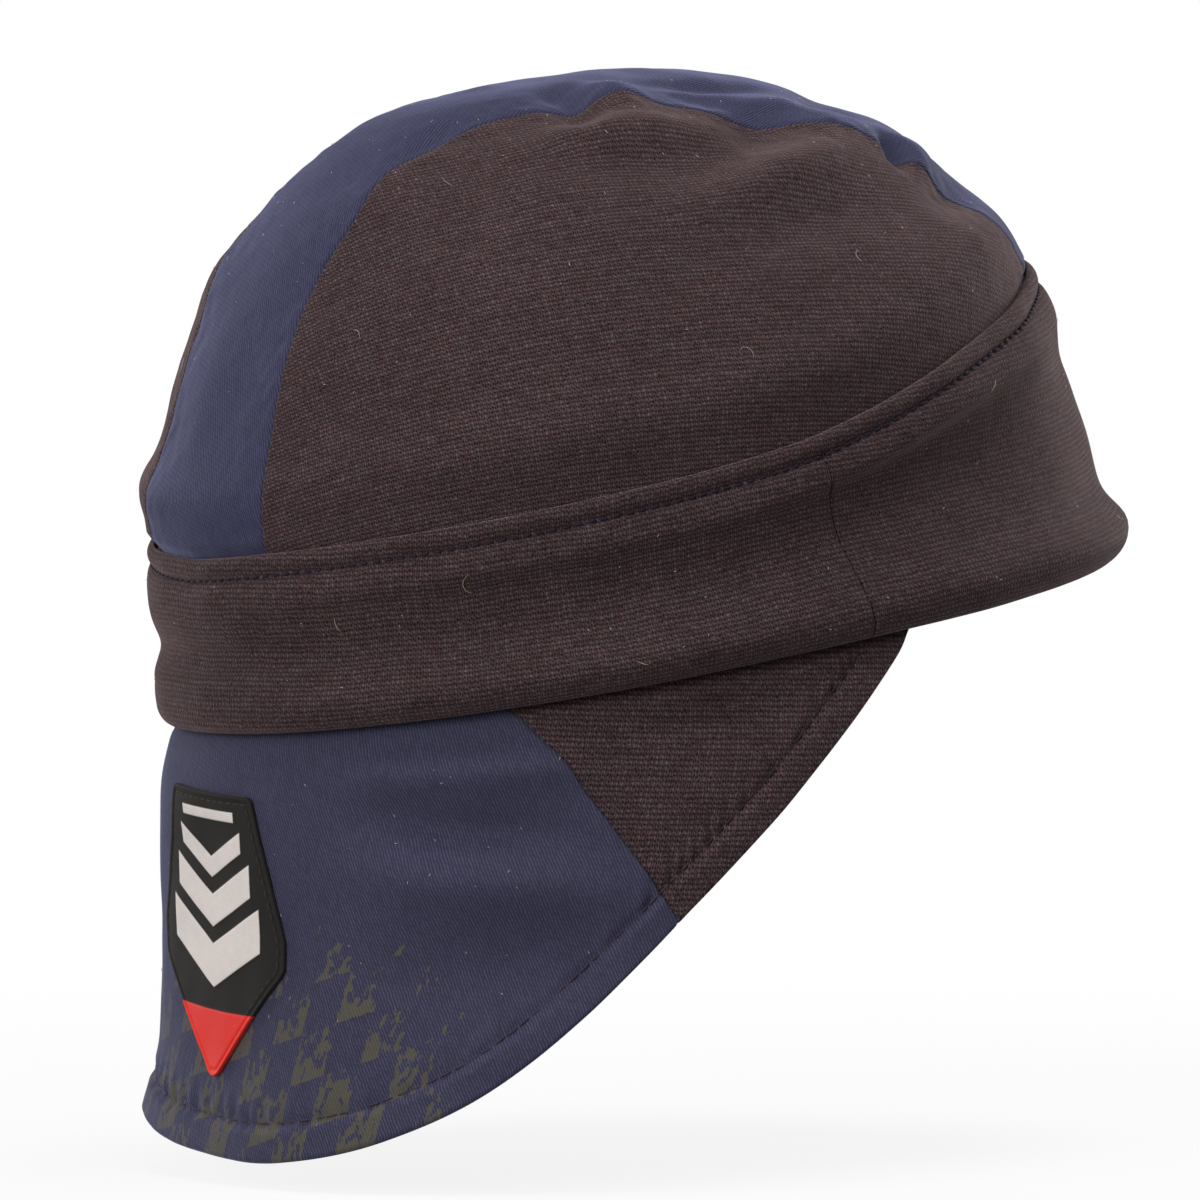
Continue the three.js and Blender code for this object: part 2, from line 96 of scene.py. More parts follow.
class Side(Enum):
    """A side of the wearer. The value is the sign of X there."""

    RIGHT = -1
    LEFT = 1


def added(name: str, data: bpy.types.ID) -> Piece:
    """Makes an object of its data and links it into the scene."""
    made = bpy.data.objects.new(name, data)
    bpy.context.scene.collection.objects.link(made)
    return made


@dataclass(frozen=True)
class Table:
    """Rows of named columns that are read smoothly at any value of the first column."""

    columns: tuple[str, ...]
    rows: Rows

    def read(self, column: str, at: Grid) -> Grid:
        """Reads one column.

        Args:
            column: The name of the column.
            at: Values of the first column, kept within its range.

        Returns:
            The column's smooth values there.
        """
        data = np.array(self.rows)
        key, values = data[:, 0], data[:, self.columns.index(column)]
        span = np.diff(key)
        rate = np.diff(values) / span
        slope = np.concatenate([rate[:1], rate, rate[-1:]])[: len(key)]
        slope[1:-1] = (rate[:-1] * span[1:] + rate[1:] * span[:-1]) / (span[:-1] + span[1:])
        slope[-1] = rate[-1]
        place = np.clip(at, key[0], key[-1])
        low = np.clip(np.searchsorted(key, place, side="right") - 1, 0, len(key) - 2)
        t = (place - key[low]) / span[low]
        bend = span[low] * t * (1 - t) * ((1 - t) * slope[low] - t * slope[low + 1])
        return values[low] + (values[low + 1] - values[low]) * t * t * (3 - 2 * t) + bend


@dataclass(frozen=True)
class Folds:
    """Soft folds, each a round dent or swelling.

    A row has the fold's angle and share, how far it spreads in each, and its lift as a share of the
    depth.
    """

    depth: float
    rows: Rows

    def lift(self, angle: Grid, at: Grid) -> Grid:
        """Adds up the folds.

        Args:
            angle: Degrees round the cap.
            at: Shares of the way up or down the piece.

        Returns:
            How far the cloth stands out, in metres.
        """
        total = np.zeros(np.broadcast(angle, at).shape)
        for middle, level, wide, tall, lift in self.rows:
            turn = (angle - middle + 540) % 360 - 180
            total += lift * np.exp(-((turn / wide) ** 2) - ((at - level) / tall) ** 2)
        return self.depth * total


@dataclass(frozen=True)
class Creases:
    """Soft creases, each a ridge or a valley from one place to another that dies out at both ends.

    A row has the angle and share where the crease starts, the angle and share where it ends, its half
    width and its lift. The last two are in millimetres.
    """

    rows: Rows
    steps: int = 40

    def lift(self, points: Grid, place: Callable[[Grid, Grid], Grid]) -> Grid:
        """Adds up the creases.

        Args:
            points: Places on the smooth form.
            place: Gives the form's place for an angle and a share.

        Returns:
            How far the cloth stands out, in metres.
        """
        total = np.zeros(points.shape[:-1])
        part = (np.arange(self.steps) + 0.5) / self.steps
        for start, level, end, last_level, wide, lift in self.rows:
            path = place(mix(start, end, part), mix(level, last_level, part))
            spacing = np.linalg.norm(path[-1] - path[0]) / self.steps
            share = spacing / (wide * MM * math.sqrt(math.pi))
            for spot, along in zip(path, part):
                apart = np.sum((points - spot) ** 2, axis=-1)
                total += lift * MM * share * math.sin(math.pi * along) * np.exp(-apart / (wide * MM) ** 2)
        return total


@dataclass(frozen=True)
class Ripples:
    """Small uneven waves of the cloth, as a sum of plane waves with seeded directions."""

    seed: int
    height: float
    shortest: float
    longest: float
    count: int = 26

    def lift(self, points: Grid) -> Grid:
        """Reads the waves at points, in metres.

        Args:
            points: Points in metres.

        Returns:
            How far the cloth stands out, in metres.
        """
        draw = np.random.default_rng(self.seed)
        ways = unit(draw.normal(size=(self.count, 3)))
        lengths = np.exp(draw.uniform(math.log(self.shortest), math.log(self.longest), self.count))
        starts = draw.uniform(0, 2 * math.pi, self.count)
        total = np.zeros(points.shape[:-1])
        for way, length, start in zip(ways, lengths, starts):
            share = length / self.longest
            total += share * np.sin(points @ way * (2 * math.pi / length) + start)
        return self.height * total / math.sqrt(self.count)


def smoothstep(value: Grid, low: float, high: float) -> Grid:
    """Turns a value smoothly from 0 at low to 1 at high."""
    t = np.clip((value - low) / (high - low), 0, 1)
    return t * t * (3 - 2 * t)


def mix(start: Grid, end: Grid, share: Grid) -> Grid:
    """Blends two values in a straight line."""
    return start + (end - start) * share


def rounded(distance: Grid, radius: float) -> Grid:
    """The drop of a folded cloth edge, from -radius at the edge to 0 at one radius from it."""
    near = np.clip(radius - distance, 0, radius)
    return np.sqrt(np.maximum(radius**2 - near**2, 0)) - radius


def lengths_along(points: Grid) -> Grid:
    """Running lengths along the last but one axis of an array of points."""
    steps = np.linalg.norm(np.diff(points, axis=-2), axis=-1)
    start = np.zeros(steps.shape[:-1] + (1,))
    return np.concatenate([start, np.cumsum(steps, axis=-1)], axis=-1)


def unit(vectors: Grid) -> Grid:
    """Vectors of length 1 that point the same ways."""
    return vectors / np.linalg.norm(vectors, axis=-1, keepdims=True)


def sideways(middle: Grid, out: Grid) -> Grid:
    """Unit directions along the cloth and across threads, from their middle lines and ways out."""
    return unit(np.cross(out, unit(np.gradient(middle, axis=1))))


def crowded(count: int, power: float) -> Grid:
    """Places from -1 to 1 that lie closer together towards both ends."""
    even = np.linspace(-1, 1, count)
    return np.sign(even) * (1 - (1 - np.abs(even)) ** power)


def from_front(angle: Grid) -> Grid:
    """Degrees from the front, alike on both sides of the cap."""
    return np.minimum(angle % 360, 360 - angle % 360)


@dataclass(frozen=True)
class HeadForm:
    """The smooth head form under all the cloth."""

    rim_tilt: float = 10.4
    reach_front: float = 101 * MM
    reach_back: float = 103.5 * MM
    half_width: float = 78 * MM
    crown_height: float = 117 * MM
    tip_back: float = 18 * MM
    tip_zone: float = 0.9
    tip_probe: float = 0.98
    hub_forward: float = -10 * MM
    hub_up: float = 18 * MM
    halvings: int = 36
    sections: Table = Table(
        ("climb", "height", "front", "back", "side"),
        (
            (0.0, 0.0, 1.0, 0.99, 1.0),
            (0.17, 0.256, 0.965, 0.96, 1.012),
            (0.285, 0.427, 0.95, 0.91, 1.01),
            (0.405, 0.598, 0.88, 0.82, 0.95),
            (0.505, 0.726, 0.8, 0.71, 0.83),
            (0.578, 0.812, 0.715, 0.62, 0.7),
            (0.647, 0.872, 0.61, 0.53, 0.565),
            (0.717, 0.923, 0.5, 0.43, 0.43),
            (0.8, 0.966, 0.36, 0.32, 0.285),
            (1.0, 1.0, 0.0, 0.0, 0.0),
        ),
    )

    def tilted(self, side: Grid, forward: Grid, up: Grid) -> Grid:
        """Turns places on the rim, given by side, forward and up, into the cap's frame."""
        tilt = math.radians(self.rim_tilt)
        back = up * math.sin(tilt) - forward * math.cos(tilt)
        high = forward * math.sin(tilt) + up * math.cos(tilt)
        return np.stack(np.broadcast_arrays(-side, back, high), axis=-1)

    @cached_property
    def rim(self) -> tuple[Grid, Grid]:
        """Angles round the rim, and the rim's length from the front to each."""
        angle = np.linspace(-100, 460, 5601)
        run = lengths_along(self.point(angle, np.zeros(angle.shape)))
        return angle, run - np.interp(0, angle, run)

    def arc(self, angle: Grid) -> Grid:
        """The length along the rim from the front to an angle."""
        return np.interp(angle, *self.rim)

    def section(self, climb: Grid) -> tuple[Grid, Grid, Grid]:
        """The middle, half length and half width of the level section at a climb."""
        front = self.sections.read("front", climb) * (self.reach_front + self.tip_back) - self.tip_back
        back = self.sections.read("back", climb) * (self.reach_back - self.tip_back) + self.tip_back
        wide = self.sections.read("side", climb) * self.half_width
        return (front - back) / 2, (front + back) / 2, wide

    def height(self, climb: Grid) -> Grid:
        """The height over the rim at a climb."""
        return self.sections.read("height", climb) * self.crown_height

    @cached_property
    def climbs(self) -> tuple[Grid, Grid]:
        """Evenly spaced climbs and their heights."""
        climbs = np.linspace(0, 1, 4001)
        return climbs, self.height(climbs)

    def climb_at(self, height: Grid) -> Grid:
        """The climb at a height over the rim."""
        climbs, heights = self.climbs
        return np.interp(height, heights, climbs)

    def point(self, angle: Grid, climb: Grid) -> Grid:
        """Points of the form by angle and climb."""
        middle, long, wide = self.section(climb)
        turn = np.radians(angle)
        return self.tilted(wide * np.sin(turn), middle + long * np.cos(turn), self.height(climb))

    def normal(self, angle: Grid, climb: Grid) -> Grid:
        """Outward unit normals of the form.

        Args:
            angle: Degrees round the cap.
            climb: Climbs up the form.

        Returns:
            The normals.
        """
        probe = 1e-3
        low = np.minimum(climb, self.tip_probe)
        round_ = self.point(angle + probe, low) - self.point(angle - probe, low)
        rise = self.point(angle, low + probe) - self.point(angle, np.maximum(low - probe, 0))
        blend = smoothstep(climb, self.tip_zone, 1)[..., None]
        return unit(mix(unit(np.cross(rise, round_)), self.tilted(0.0, 0.0, 1.0), blend))

    def level_normal(self, angle: Grid) -> Grid:
        """Level unit directions away from the rim."""
        return unit(self.normal(angle, np.zeros(np.shape(angle))) * np.array([1.0, 1.0, 0.0]))

    def lifted(self, angle: Grid, climb: Grid, lift: Grid) -> Grid:
        """Points that stand a lift off the form."""
        return self.point(angle, climb) + self.normal(angle, climb) * np.asarray(lift)[..., None]

    def at_height(self, angle: Grid, height: Grid, lift: Grid) -> Grid:
        """Points by height over the rim. A height below nothing hangs straight under the rim."""
        under = self.tilted(0.0, 0.0, np.minimum(height, 0))
        return self.lifted(angle, self.climb_at(np.maximum(height, 0)), lift) + under

    def on_ray(self, turn: Grid, side: Grid) -> tuple[Grid, Grid]:
        """Finds the form along rays from the hub line that runs across the head.

        Args:
            turn: Degrees of each ray from the front (0) over the top (90) to the back (180).
            side: Place across the head, positive on the wearer's right.

        Returns:
            The angle and the climb of the form's point on each ray.
        """
        turn, side = np.broadcast_arrays(turn, side)
        ahead, rise = np.cos(np.radians(turn)), np.sin(np.radians(turn))
        near, far = np.zeros(turn.shape), np.full(turn.shape, 2 * self.reach_back)
        for _ in range(self.halvings):
            reach = (near + far) / 2
            outside = self._beyond(side, self.hub_forward + reach * ahead, self.hub_up + reach * rise)
            near, far = np.where(outside, near, reach), np.where(outside, reach, far)
        climb = self.climb_at(self.hub_up + near * rise)
        middle, long, wide = self.section(climb)
        across = side / np.maximum(wide, TINY)
        along = (self.hub_forward + near * ahead - middle) / np.maximum(long, TINY)
        return np.degrees(np.arctan2(across, along)) % 360, climb

    def _beyond(self, side: Grid, forward: Grid, up: Grid) -> Grid:
        """Whether places on the rim's axes lie outside the form."""
        middle, long, wide = self.section(self.climb_at(up))
        long, wide = np.maximum(long, TINY), np.maximum(wide, TINY)
        return ((forward - middle) / long) ** 2 + (side / wide) ** 2 > 1


FORM = HeadForm()


class Wiring:
    """Adds nodes to one shader tree and links them."""

    def __init__(self, tree: bpy.types.NodeTree) -> None:
        """Keeps the tree that the nodes go into."""
        self.tree = tree

    def put(self, socket: Socket, value: object) -> None:
        """Links a socket to another one, or sets it to a plain value."""
        if isinstance(value, Socket):
            self.tree.links.new(value, socket)
        else:
            socket.default_value = value

    def node(self, kind: str, values: dict[str, object], **settings: object) -> Node:
        """Adds a node.

        Args:
            kind: The node's type, without its ShaderNode prefix.
            values: Values or sockets for its inputs, by name.
            **settings: The node's own settings.

        Returns:
            The new node.
        """
        made = self.tree.nodes.new("ShaderNode" + kind)
        for name, value in settings.items():
            setattr(made, name, value)
        for name, value in values.items():
            self.put(made.inputs[name], value)
        return made

    def math(self, operation: str, *values: object) -> Socket:
        """Adds a math node and gives its result."""
        made = self.node("Math", {}, operation=operation)
        for socket, value in zip(made.inputs, values):
            self.put(socket, value)
        return made.outputs[0]

    def plus(self, one: object, other: object) -> Socket:
        """Adds two values."""
        return self.math("ADD", one, other)

    def times(self, one: object, other: object) -> Socket:
        """Multiplies two values."""
        return self.math("MULTIPLY", one, other)

    def line(self, value: object, factor: object, start: object) -> Socket:
        """Multiplies a value by a factor and adds a start."""
        return self.math("MULTIPLY_ADD", value, factor, start)

    def wave(self, turns: Socket) -> Socket:
        """A wave from 0 to 1 that repeats at each whole number of turns, with its crest there."""
        return self.line(self.swing(turns), 0.5, 0.5)

    def swing(self, turns: Socket) -> Socket:
        """A wave from -1 to 1 that repeats at each whole number of turns, with its crest there."""
        return self.math("COSINE", self.times(turns, 2 * math.pi))

    def blend(self, share: object, low: object, high: object) -> Socket:
        """Blends two colours by a share."""
        made = self.node("Mix", {}, data_type="RGBA")
        for socket, value in ((made.inputs[0], share), (made.inputs[6], low), (made.inputs[7], high)):
            self.put(socket, value)
        return made.outputs[2]

    def scaled(self, colour: Socket, factor: Socket) -> Socket:
        """Multiplies a colour by a value."""
        made = self.node("VectorMath", {}, operation="SCALE")
        self.put(made.inputs[0], colour)
        self.put(made.inputs["Scale"], factor)
        return made.outputs[0]

    def ramp(self, value: Socket, low: object, high: object) -> Socket:
        """Turns a value smoothly from 0 at low to 1 at high."""
        values = {"Value": value, "From Min": low, "From Max": high}
        return self.node("MapRange", values, interpolation_type="SMOOTHSTEP").outputs[0]

    def split(self, vector: Socket) -> tuple[Socket, Socket]:
        """The first two parts of a vector."""
        parts = self.node("SeparateXYZ", {"Vector": vector}).outputs
        return parts[0], parts[1]

    def vector(self, x: object, y: object) -> Socket:
        """A flat vector from two values."""
        return self.node("CombineXYZ", {"X": x, "Y": y}).outputs[0]

    def noise(self, place: Socket, scale: object, detail: float = 2.0) -> Socket:
        """Smooth noise from 0 to 1 at a place."""
        values = {"Vector": place, "Scale": scale, "Detail": detail}
        return self.node("TexNoise", values).outputs[0]

    def chance(self, cell: Socket) -> Socket:
        """An even chance from 0 to 1 for each cell."""
        return self.node("TexWhiteNoise", {"Vector": cell}, noise_dimensions="2D").outputs[0]

    def colour(self, value: Colour) -> Socket:
        """One plain colour."""
        made = self.node("RGB", {}).outputs[0]
        made.default_value = value
        return made

    def within(self, value: Socket, low: float, high: float, soft: float) -> Socket:
        """1 where a value lies between low and high and 0 elsewhere, over soft edges."""
        begun = self.ramp(value, low - soft, low + soft)
        ended = self.ramp(value, high - soft, high + soft)
        return self.times(begun, self.math("SUBTRACT", 1.0, ended))


@dataclass(frozen=True)
class Effect:
    """A shader node group with named inputs and outputs, which is built once."""

    name: str
    inputs: tuple[tuple[str, str, float], ...]
    outputs: tuple[str, ...]

    def wire(self, net: Wiring, given: dict[str, Socket]) -> dict[str, Socket]:
        """Builds the inside of the group.

        Args:
            net: The group's own tree.
            given: The group's inputs by name.

        Returns:
            The group's outputs by name.
        """
        raise NotImplementedError

    def group(self) -> bpy.types.NodeTree:
        """The node group, made on its first use."""
        if self.name in bpy.data.node_groups:
            return bpy.data.node_groups[self.name]
        tree = bpy.data.node_groups.new(self.name, "ShaderNodeTree")
        for name, kind, start in self.inputs:
            socket = tree.interface.new_socket(name=name, in_out="INPUT", socket_type=kind)
            if kind == "NodeSocketFloat":
                socket.default_value = start
        for name in self.outputs:
            tree.interface.new_socket(name=name, in_out="OUTPUT", socket_type="NodeSocketFloat")
        entry = tree.nodes.new("NodeGroupInput")
        leave = tree.nodes.new("NodeGroupOutput")
        net = Wiring(tree)
        made = self.wire(net, {name: entry.outputs[name] for name, _, _ in self.inputs})
        for name in self.outputs:
            net.put(leave.inputs[name], made[name])
        return tree

    def place(self, net: Wiring, **values: object) -> dict[str, Socket]:
        """Puts the group into a material.

        Args:
            net: The material's tree.
            **values: Values or sockets for the inputs, with underscores for spaces.

        Returns:
            The group's outputs by name.
        """
        node = net.tree.nodes.new("ShaderNodeGroup")
        node.node_tree = self.group()
        for name, value in values.items():
            net.put(node.inputs[name.replace("_", " ")], value)
        return {name: node.outputs[name] for name in self.outputs}


class KnitLoops(Effect):
    """Rows of knitted loops whose legs line up in slanted lines, with uneven yarn."""

    def wire(self, net: Wiring, given: dict[str, Socket]) -> dict[str, Socket]:
        """Builds the loops from the place on the cloth, in millimetres."""
        x, y = net.split(given["Place"])
        waver = net.noise(given["Place"], 0.4, 2.0)
        wobble = net.noise(given["Place"], 1.3, 1.0)
        shake = net.line(wobble, 0.75, net.times(waver, 0.8))
        wales = net.plus(net.math("DIVIDE", x, given["Wale"]), shake)
        sag = net.times(shake, 0.8)
        courses = net.plus(net.math("DIVIDE", y, given["Course"]), sag)
        rows = net.times(net.swing(courses), 0.2)
        legs = net.line(net.swing(wales), 0.1, rows)
        slant = net.swing(net.plus(wales, courses))
        slanted = net.line(slant, given["Slant"], legs)
        double = net.swing(net.times(wales, 2.0))
        height = net.plus(net.line(double, 0.2, slanted), 0.46)
        height = net.math("MINIMUM", net.math("MAXIMUM", height, 0.0), 1.0)
        loop = net.vector(net.math("ROUND", wales), net.math("ROUND", courses))
        chance = net.chance(loop)
        streak = net.vector(net.times(x, 0.12), y)
        uneven = net.line(net.noise(streak, 0.9, 2.0), 0.7, 0.35)
        fray = net.line(net.noise(given["Place"], 1.9, 2.0), 1.5, 0.3)
        uneven = net.times(uneven, fray)
        shade = net.times(uneven, net.line(chance, 0.4, 0.82))
        shade = net.math("MINIMUM", shade, 0.98)
        # Crest is low in the hollows between the loops, where the knit finish paints shade, and low where
        # the yarn is uneven.
        return {"Height": height, "Crest": net.times(height, shade), "Chance": chance}


class TwillRibs(Effect):
    """Fine slanted ribs of a twill weave, broken into short floats."""

    def wire(self, net: Wiring, given: dict[str, Socket]) -> dict[str, Socket]:
        """Builds the ribs from the place on the cloth, in millimetres."""
        x, y = net.split(given["Place"])
        lean = math.radians(21)
        waver = net.noise(given["Place"], 0.6, 3.0)
        over = net.line(x, math.cos(lean), net.times(y, math.sin(lean)))
        along = net.line(y, math.cos(lean), net.times(x, -math.sin(lean)))
        ribs = net.line(waver, 0.9, net.math("DIVIDE", over, given["Rib"]))
        rib = net.wave(ribs)
        number = net.math("FLOOR", net.plus(ribs, 0.5))
        floated = net.math("DIVIDE", along, given["Float"])
        floated = net.plus(floated, net.times(number, 0.37))
        floats = net.line(net.wave(floated), 0.3, 0.7)
        height = net.times(rib, floats)
        chance = net.chance(net.vector(number, net.math("FLOOR", floated)))
        uneven = net.line(chance, 0.6, 0.7)
        # Crest is low in the hollows between the ribs, where the twill finish paints shade, and low where a
        # float's yarn is uneven.
        return {"Height": height, "Crest": net.times(height, uneven)}


class ClothTone(Effect):
    """Broad and narrow unevenness of dyed cloth, around 1."""

    def wire(self, net: Wiring, given: dict[str, Socket]) -> dict[str, Socket]:
        """Adds a broad cloudiness and a fine one over the place in space, in metres."""
        broad = net.noise(given["Place"], 28.0, 3.0)
        narrow = net.noise(given["Place"], 420.0, 2.0)
        tone = net.line(net.math("SUBTRACT", broad, 0.5), given["Broad"], 1.0)
        fine = net.times(net.math("SUBTRACT", narrow, 0.5), given["Fine"])
        return {"Tone": net.plus(tone, fine)}


class Flecks(Effect):
    """Sparse pale flecks of dust and fibre ends."""

    def wire(self, net: Wiring, given: dict[str, Socket]) -> dict[str, Socket]:
        """Keeps a few small spots of a cell pattern over the place on the cloth, in millimetres."""
        values = {"Vector": given["Place"], "Scale": net.math("DIVIDE", 1.0, given["Spacing"])}
        cells = net.node("TexVoronoi", values, feature="F1")
        near = net.times(cells.outputs["Distance"], given["Spacing"])
        chance, _ = net.split(cells.outputs["Color"])
        radius = net.times(given["Radius"], net.plus(chance, 0.2))
        spot = net.math("SUBTRACT", 1.0, net.ramp(near, net.times(radius, 0.4), radius))
        lot = net.math("FRACT", net.times(chance, 97.0))
        few = net.math("LESS_THAN", lot, given["Share"])
        return {"Fleck": net.times(spot, few)}


VECTOR, FLOAT = "NodeSocketVector", "NodeSocketFloat"
KNIT_LOOPS = KnitLoops(
    "knit loops",
    (("Place", VECTOR, 0), ("Wale", FLOAT, 1.03), ("Course", FLOAT, 1.05), ("Slant", FLOAT, 0.15)),
    ("Height", "Crest", "Chance"),
)
TWILL_RIBS = TwillRibs(
    "twill ribs",
    (("Place", VECTOR, 0), ("Rib", FLOAT, 0.58), ("Float", FLOAT, 1.2)),
    ("Height", "Crest"),
)
CLOTH_TONE = ClothTone(
    "cloth tone",
    (("Place", VECTOR, 0), ("Broad", FLOAT, 0.3), ("Fine", FLOAT, 0.2)),
    ("Tone",),
)
FLECKS = Flecks(
    "flecks",
    (("Place", VECTOR, 0), ("Spacing", FLOAT, 9.0), ("Radius", FLOAT, 0.3), ("Share", FLOAT, 0.4)),
    ("Fleck",),
)

CLOTH_MAP = "cloth"


def srgb(red: float, green: float, blue: float) -> tuple[float, float, float, float]:
    """A colour given in 0 to 255 as seen on a screen, as linear light."""
    share = [value / 255 for value in (red, green, blue)]
    linear = [v / 12.92 if v <= 0.04045 else ((v + 0.055) / 1.055) ** 2.4 for v in share]
    return (*linear, 1.0)


class Finish:
    """A material that is made on its first use."""

    name: str

    def dress(self, net: Wiring, shader: Node) -> None:
        """Feeds the shader's sockets."""
        raise NotImplementedError

    def material(self) -> bpy.types.Material:
        """The finished material."""
        if self.name in bpy.data.materials:
            return bpy.data.materials[self.name]
        made = bpy.data.materials.new(self.name)
        made.use_nodes = True
        made.node_tree.nodes.clear()
        net = Wiring(made.node_tree)
        shader = net.node("BsdfPrincipled", {})
        net.node("OutputMaterial", {"Surface": shader.outputs[0]})
        self.dress(net, shader)
        return made

    @staticmethod
    def paint(net: Wiring, shader: Node, colour: Socket, rough: Socket) -> None:
        """Feeds the shader's colour and roughness."""
        net.put(shader.inputs["Base Color"], colour)
        net.put(shader.inputs["Roughness"], rough)

    @staticmethod
    def bump(net: Wiring, shader: Node, height: Socket, depth: float, strength: float) -> None:
        """Feeds the shader's normal with a bump of a depth in metres."""
        values = {"Height": height, "Distance": depth, "Strength": strength}
        net.put(shader.inputs["Normal"], net.node("Bump", values).outputs[0])

    @staticmethod
    def places(net: Wiring) -> tuple[Socket, Socket]:
        """The place on the flat cloth in millimetres, and the place in space in metres."""
        flat = net.node("UVMap", {}, uv_map=CLOTH_MAP).outputs[0]
        return flat, net.node("TexCoord", {}).outputs["Object"]

    @staticmethod
    def soften(shader: Node, sheen: float, tint: Colour) -> None:
        """Sets the soft fibre sheen of cloth."""
        shader.inputs["Sheen Weight"].default_value = sheen
        shader.inputs["Sheen Roughness"].default_value = 0.35
        shader.inputs["Sheen Tint"].default_value = tint
        shader.inputs["Specular IOR Level"].default_value = 0.18


@dataclass(frozen=True)
class KnitFinish(Finish):
    """Fine knitted jersey of brown and greyish yarn, with painted shade between its loops."""

    name: str
    # The colour of the painted shade in the hollows between the loops, also reached where the yarn is
    # uneven.
    gap: Colour
    brown: Colour
    grey: Colour
    slant: float = 0.15
    depth: float = 0.2 * MM

    def dress(self, net: Wiring, shader: Node) -> None:
        """Wires the loops, the tone and the flecks into the shader."""
        flat, space = self.places(net)
        loops = KNIT_LOOPS.place(net, Place=flat, Slant=self.slant)
        tone = CLOTH_TONE.place(net, Place=space, Broad=0.3, Fine=0.4)["Tone"]
        fleck = FLECKS.place(net, Place=flat, Spacing=8.0, Radius=0.3, Share=0.3)["Fleck"]
        yarn = net.blend(loops["Chance"], self.brown, self.grey)
        # The gap colour paints shade in the hollows between the loops; the yarn colours show on their
        # crests.
        knit = net.scaled(net.blend(loops["Crest"], self.gap, yarn), tone)
        colour = net.blend(fleck, knit, srgb(150, 138, 132))
        self.paint(net, shader, colour, net.line(loops["Crest"], -0.12, 0.96))
        self.bump(net, shader, loops["Height"], self.depth, 0.8)
        self.soften(shader, 0.45, srgb(200, 172, 172))


@dataclass(frozen=True)
class TwillFinish(Finish):
    """Fine cotton twill with painted shade between its ribs, plain or with a worn checker print in a second
    colour.
    """

    name: str
    # The colour of the painted shade in the hollows between the ribs.
    valley: Colour
    rib: Colour
    printed: bool = False
    ink: Colour = srgb(88, 84, 76)
    cell_corner: tuple[float, float] = (43.5, 18.0)
    cell_across: tuple[float, float] = (8.0, 1.9)
    cell_up: tuple[float, float] = (2.7, 10.2)
    fade_up: tuple[float, float] = (22.0, 58.0)
    fade_aside: tuple[float, float] = (52.0, 72.0)

    def dress(self, net: Wiring, shader: Node) -> None:
        """Wires the ribs, the tone, the flecks and the print into the shader."""
        flat, space = self.places(net)
        ribs = TWILL_RIBS.place(net, Place=flat)
        tone = CLOTH_TONE.place(net, Place=space, Broad=0.22, Fine=0.22)["Tone"]
        fleck = FLECKS.place(net, Place=flat, Spacing=6.0, Radius=0.3, Share=0.35)["Fleck"]
        # The valley colour paints shade in the hollows between the ribs; the rib colour shows on their
        # crests.
        yarn = net.scaled(net.blend(ribs["Crest"], self.valley, self.rib), tone)
        if self.printed:
            # The ink gets the same painted shade between the ribs.
            shade = net.line(ribs["Crest"], 0.3, 0.95)
            ink = net.scaled(net.colour(self.ink), shade)
            yarn = net.blend(self.worn_checks(net, flat), yarn, ink)
        colour = net.blend(fleck, yarn, srgb(140, 138, 150))
        self.paint(net, shader, colour, net.line(ribs["Crest"], -0.1, 0.88))
        self.bump(net, shader, ribs["Height"], 0.12 * MM, 0.6)
        self.soften(shader, 0.5, srgb(176, 180, 226))

    def worn_checks(self, net: Wiring, flat: Socket) -> Socket:
        """Slanted checks that wear away in upright streaks and fade towards the top.

        Args:
            net: The material's tree.
            flat: The place on the cloth. Its second part is the height over the flap's lowest point.

        Returns:
            The share of ink.
        """
        x, y = net.split(flat)
        ragged = net.noise(net.vector(x, net.times(y, 0.5)), 0.9, 3.0)
        shove = net.line(ragged, 0.2, -0.1)
        right = net.math("SUBTRACT", x, self.cell_corner[0])
        above = net.math("SUBTRACT", y, self.cell_corner[1])
        (ax, ay), (ux, uy) = self.cell_across, self.cell_up
        area = ax * uy - ay * ux
        column = net.line(right, uy / area, net.times(above, -ux / area))
        row = net.line(above, ax / area, net.times(right, -ay / area))
        column = net.plus(column, shove)
        row = net.line(shove, 0.5, row)
        cell = net.plus(net.math("FLOOR", column), net.math("FLOOR", row))
        check = net.math("LESS_THAN", net.math("FRACT", net.times(cell, 0.5)), 0.25)
        leaned = net.line(y, -ux / uy, x)
        streaks = net.noise(net.vector(leaned, net.times(y, 0.35)), 0.36, 2.0)
        specks = net.noise(net.vector(leaned, net.times(y, 0.5)), 0.8, 2.5)
        worn = net.line(specks, 0.62, net.times(streaks, 0.38))
        corner = net.vector(net.math("FLOOR", column), net.math("FLOOR", row))
        limit = net.line(net.ramp(y, *self.fade_up), 0.26, 0.36)
        outward = net.ramp(net.math("ABSOLUTE", x), *self.fade_aside)
        limit = net.line(outward, 0.3, limit)
        limit = net.line(net.math("FRACT", row), 0.12, limit)
        limit = net.line(net.chance(corner), 0.1, limit)
        kept = net.ramp(worn, limit, net.plus(limit, 0.02))
        return net.times(check, kept)


@dataclass(frozen=True)
class ThreadFinish(Finish):
    """Sewing thread with a fine twist."""

    name: str
    colour: Colour

    def dress(self, net: Wiring, shader: Node) -> None:
        """Wires the twist into the shader. The map runs along and round the thread."""
        flat, space = self.places(net)
        along, around = net.split(flat)
        ply = net.wave(net.line(along, 2.2, net.times(around, 2.0)))
        tone = CLOTH_TONE.place(net, Place=space, Broad=0.4, Fine=0.5)["Tone"]
        # The thread is painted darker in the grooves of its twist, as shade.
        shade = net.times(tone, net.line(ply, 0.5, 0.7))
        colour = net.scaled(net.colour(self.colour), shade)
        self.paint(net, shader, colour, net.line(ply, -0.15, 0.75))
        self.bump(net, shader, ply, 0.05 * MM, 0.5)
        self.soften(shader, 0.2, srgb(200, 190, 200))


